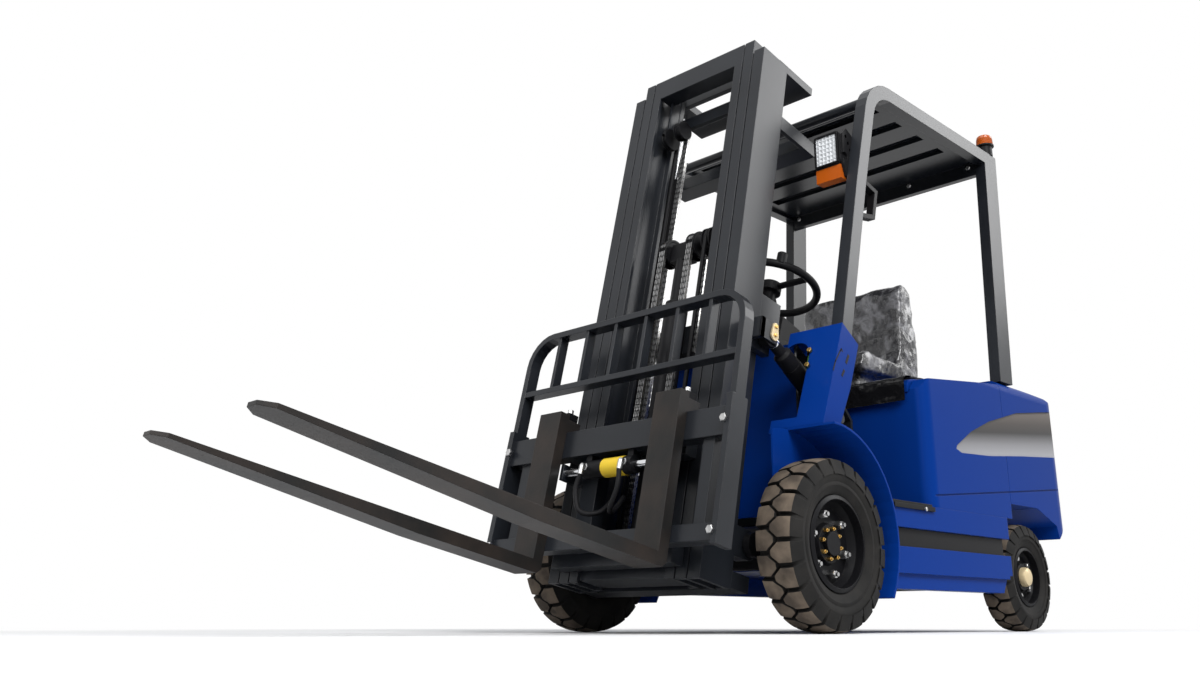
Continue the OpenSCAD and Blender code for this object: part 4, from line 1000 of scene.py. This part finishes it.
def make_shift_fittings():
    """A plain yellow band and fittings on the side shift cylinder, and its two hoses."""
    lowest, highest = mast_box("shift_rod")
    x, z = (lowest.x + highest.x) / 2, (lowest.z + highest.z) / 2
    barrel_r = 0.027
    band = Shape()
    foot = facing(on_mast(x, -0.020, z), Vector((0, 1, 0)))
    outer_r, width = barrel_r + 0.0007, 0.085
    band.lathe([(barrel_r, 0), (outer_r, 0), (outer_r, width), (barrel_r, width)], foot, "band_yellow", 40)
    band.make("shift_band", "fork_frame", "black_plastic")
    for side_name, side in SIDES:
        port = on_mast(x + barrel_r - 0.003, side * 0.080, z)
        elbow = Shape()
        tip = port + MAST_AHEAD * 0.020
        elbow.rod(port, tip, 0.008, "steel", 16)
        elbow.hex_head(facing(port, MAST_AHEAD), 0.011, 0.009, "steel")
        foot = on_mast(x + barrel_r + 0.016, side * 0.080, z - 0.026)
        elbow.rod(tip - MAST_AHEAD * 0.002, foot, 0.008, "steel", 16)
        elbow.make(f"shift_elbow_{side_name}", "fork_frame", "chain_steel")
        hose = Shape()
        end = on_mast(x - 0.050, side * 0.020, z - 0.075)
        route = [foot, on_mast(x + 0.044, side * 0.086, z - 0.075),
                 on_mast(x + 0.036, side * 0.062, z - 0.135),
                 on_mast(x - 0.008, side * 0.028, z - 0.128), end]
        hose.tube(smooth_route(route), 0.0075, "black_plastic")
        piece = hose.make(f"shift_hose_{side_name}", None, "black_plastic")
        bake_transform(piece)


make_shift_fittings()


# Wrapped seat and film

def crumple(mesh, scale, depth):
    """Pushes a mesh's points in and out along its normals into sharp, uneven creases."""
    normals = [vertex.normal.copy() for vertex in mesh.vertices]
    for vertex, normal in zip(mesh.vertices, normals):
        place = vertex.co * scale
        crease = noise.ridged_multi_fractal(place, 1.0, 2.2, 4, 1.0, 2.0, noise_basis="PERLIN_ORIGINAL")
        fold = noise.noise(Vector((place.x * 0.4, place.y * 0.4, place.z * 1.2)))
        vertex.co += normal * depth * (0.6 * (crease - 1.2) + 0.6 * fold)
    mesh.update()


def make_seat():
    """The padded seat under its crinkled wrapping, softened from the frame's plain solid."""
    source = nodes["seat"]
    draft = bpy.data.objects.new("seat_draft", source.data.copy())
    draft.data.transform(source.matrix_world)
    bpy.context.scene.collection.objects.link(draft)
    even = draft.modifiers.new("even", "REMESH")
    even.mode = "VOXEL"
    even.voxel_size = 0.006
    soften = draft.modifiers.new("soften", "SMOOTH")
    soften.factor = 0.6
    soften.iterations = 30
    mesh = bpy.data.meshes.new_from_object(draft.evaluated_get(bpy.context.evaluated_depsgraph_get()))
    bpy.data.objects.remove(draft)
    crumple(mesh, 13.0, 0.008)
    mesh.materials.clear()
    mesh.materials.append(MATERIALS["seat_wrap"])
    mesh.shade_smooth()
    seat = bpy.data.objects.new("wrapped_seat", mesh)
    bpy.context.scene.collection.objects.link(seat)
    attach(seat, "seat_hood")
    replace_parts(seat, "seat")


make_seat()


def make_hood_film():
    """Crumpled black film over the hood's front edge, hanging a little way down the box."""
    lowest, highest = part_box("hood")
    edge_x = highest[0]
    corners = [nodes["hood"].matrix_world @ vertex.co for vertex in nodes["hood"].data.vertices]
    edge_depth = 0.06
    edge_z = max(corner.z for corner in corners if corner.x > edge_x - edge_depth)
    half_w = highest[1] - 0.004
    profile = [(edge_x - 0.150, edge_z + 0.016), (edge_x - 0.060, edge_z + 0.009),
               (edge_x - 0.008, edge_z + 0.006), (edge_x + 0.008, edge_z - 0.012),
               (edge_x + 0.010, edge_z - 0.060), (edge_x + 0.011, lowest[2] - 0.030)]
    rows = smooth_route([(x, 0, z) for x, z in profile], 8)
    columns = 220
    points = [(row.x, half_w * (2 * step / columns - 1), row.z)
              for row in rows for step in range(columns + 1)]
    faces = []
    for row in range(len(rows) - 1):
        for step in range(columns):
            corner = row * (columns + 1) + step
            faces.append((corner, corner + columns + 1, corner + columns + 2, corner + 1))
    mesh = bpy.data.meshes.new("hood_film")
    mesh.from_pydata(points, [], faces)
    mesh.update()
    normals = [vertex.normal.copy() for vertex in mesh.vertices]
    crease_scale, crease_depth = 16, 0.0022
    for vertex, normal in zip(mesh.vertices, normals):
        crease = noise.ridged_multi_fractal(vertex.co * crease_scale, 1.0, 2.1, 3, 1.0, 2.0,
                                            noise_basis="PERLIN_ORIGINAL")
        vertex.co += normal * crease_depth * crease
    mesh.update()
    mesh.materials.append(MATERIALS["black_film"])
    mesh.shade_smooth()
    film = bpy.data.objects.new("hood_film", mesh)
    bpy.context.scene.collection.objects.link(film)
    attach(film, "seat_hood")


make_hood_film()


# Stage

def set_camera():
    """The camera that sees the truck as the photograph does."""
    data = bpy.data.cameras.new("camera")
    data.lens = CAMERA_LENS
    data.sensor_width = 36
    data.shift_x, data.shift_y = CAMERA_SHIFT
    data.clip_start = 0.01
    camera = bpy.data.objects.new("camera", data)
    camera.location = CAMERA_PLACE
    camera.rotation_euler = (radians(90 + CAMERA_PITCH), 0, radians(CAMERA_YAW - 90))
    bpy.context.scene.collection.objects.link(camera)
    bpy.context.scene.camera = camera


def add_seen(tree):
    """1 for a ray that shows the background, straight, mirrored or through glass."""
    path = tree.nodes.new("ShaderNodeLightPath")
    seen = path.outputs["Is Camera Ray"]
    for ray in ("Is Glossy Ray", "Is Transmission Ray"):
        either = tree.nodes.new("ShaderNodeMath")
        either.operation = "MAXIMUM"
        tree.links.new(seen, either.inputs[0])
        tree.links.new(path.outputs[ray], either.inputs[1])
        seen = either.outputs["Value"]
    return seen


def set_floor():
    """A pale floor that keeps the shadow near the truck and fades into the white background."""
    bpy.ops.mesh.primitive_plane_add(size=400)
    floor = bpy.context.object
    floor.name = "floor"
    material = make_material("floor_white", (0.82, 0.82, 0.82), 0.6)
    tree = material.node_tree
    place = tree.nodes.new("ShaderNodeTexCoord")
    reach = tree.nodes.new("ShaderNodeVectorMath")
    reach.operation = "LENGTH"
    tree.links.new(place.outputs["Object"], reach.inputs[0])
    fade = tree.nodes.new("ShaderNodeMapRange")
    fade.interpolation_type = "SMOOTHSTEP"
    fade.inputs["From Min"].default_value = 1.6
    fade.inputs["From Max"].default_value = 3.4
    tree.links.new(reach.outputs["Value"], fade.inputs["Value"])
    glow = tree.nodes.new("ShaderNodeEmission")
    tree.links.new(add_seen(tree), glow.inputs["Strength"])
    mix = tree.nodes.new("ShaderNodeMixShader")
    tree.links.new(fade.outputs["Result"], mix.inputs["Fac"])
    tree.links.new(tree.nodes["Principled BSDF"].outputs["BSDF"], mix.inputs[1])
    tree.links.new(glow.outputs["Emission"], mix.inputs[2])
    tree.links.new(mix.outputs["Shader"], tree.nodes["Material Output"].inputs["Surface"])
    floor.data.materials.append(material)


def add_area(name, place, aim, size, power):
    """A square lamp at a place, turned toward its aim."""
    data = bpy.data.lights.new(name, "AREA")
    data.size = size
    data.energy = power
    light = bpy.data.objects.new(name, data)
    light.location = place
    light.rotation_euler = (Vector(aim) - Vector(place)).to_track_quat("-Z", "Y").to_euler()
    bpy.context.scene.collection.objects.link(light)


def set_light():
    """Three soft lamps, and a world that lights faintly but shows as white."""
    add_area("key", (2.5, 5.5, 5.5), (0, 0, 0.8), 4.0, 620)
    add_area("fill", (6.0, 0.5, 3.8), (0, 0, 1.0), 4.0, 200)
    add_area("rim", (-5.0, 3.5, 4.0), (-0.5, 0, 1.0), 3.0, 150)
    world = bpy.data.worlds.new("world")
    world.use_nodes = True
    tree = world.node_tree
    plain = tree.nodes["Background"]
    plain.inputs["Color"].default_value = (0.9, 0.93, 1.0, 1)
    plain.inputs["Strength"].default_value = 0.32
    white = tree.nodes.new("ShaderNodeBackground")
    white.inputs["Color"].default_value = (1, 1, 1, 1)
    mix = tree.nodes.new("ShaderNodeMixShader")
    tree.links.new(add_seen(tree), mix.inputs["Fac"])
    tree.links.new(plain.outputs["Background"], mix.inputs[1])
    tree.links.new(white.outputs["Background"], mix.inputs[2])
    tree.links.new(mix.outputs["Shader"], tree.nodes["World Output"].inputs["Surface"])
    bpy.context.scene.world = world
    bpy.context.scene.view_settings.view_transform = "Standard"


set_camera()
set_floor()
set_light()
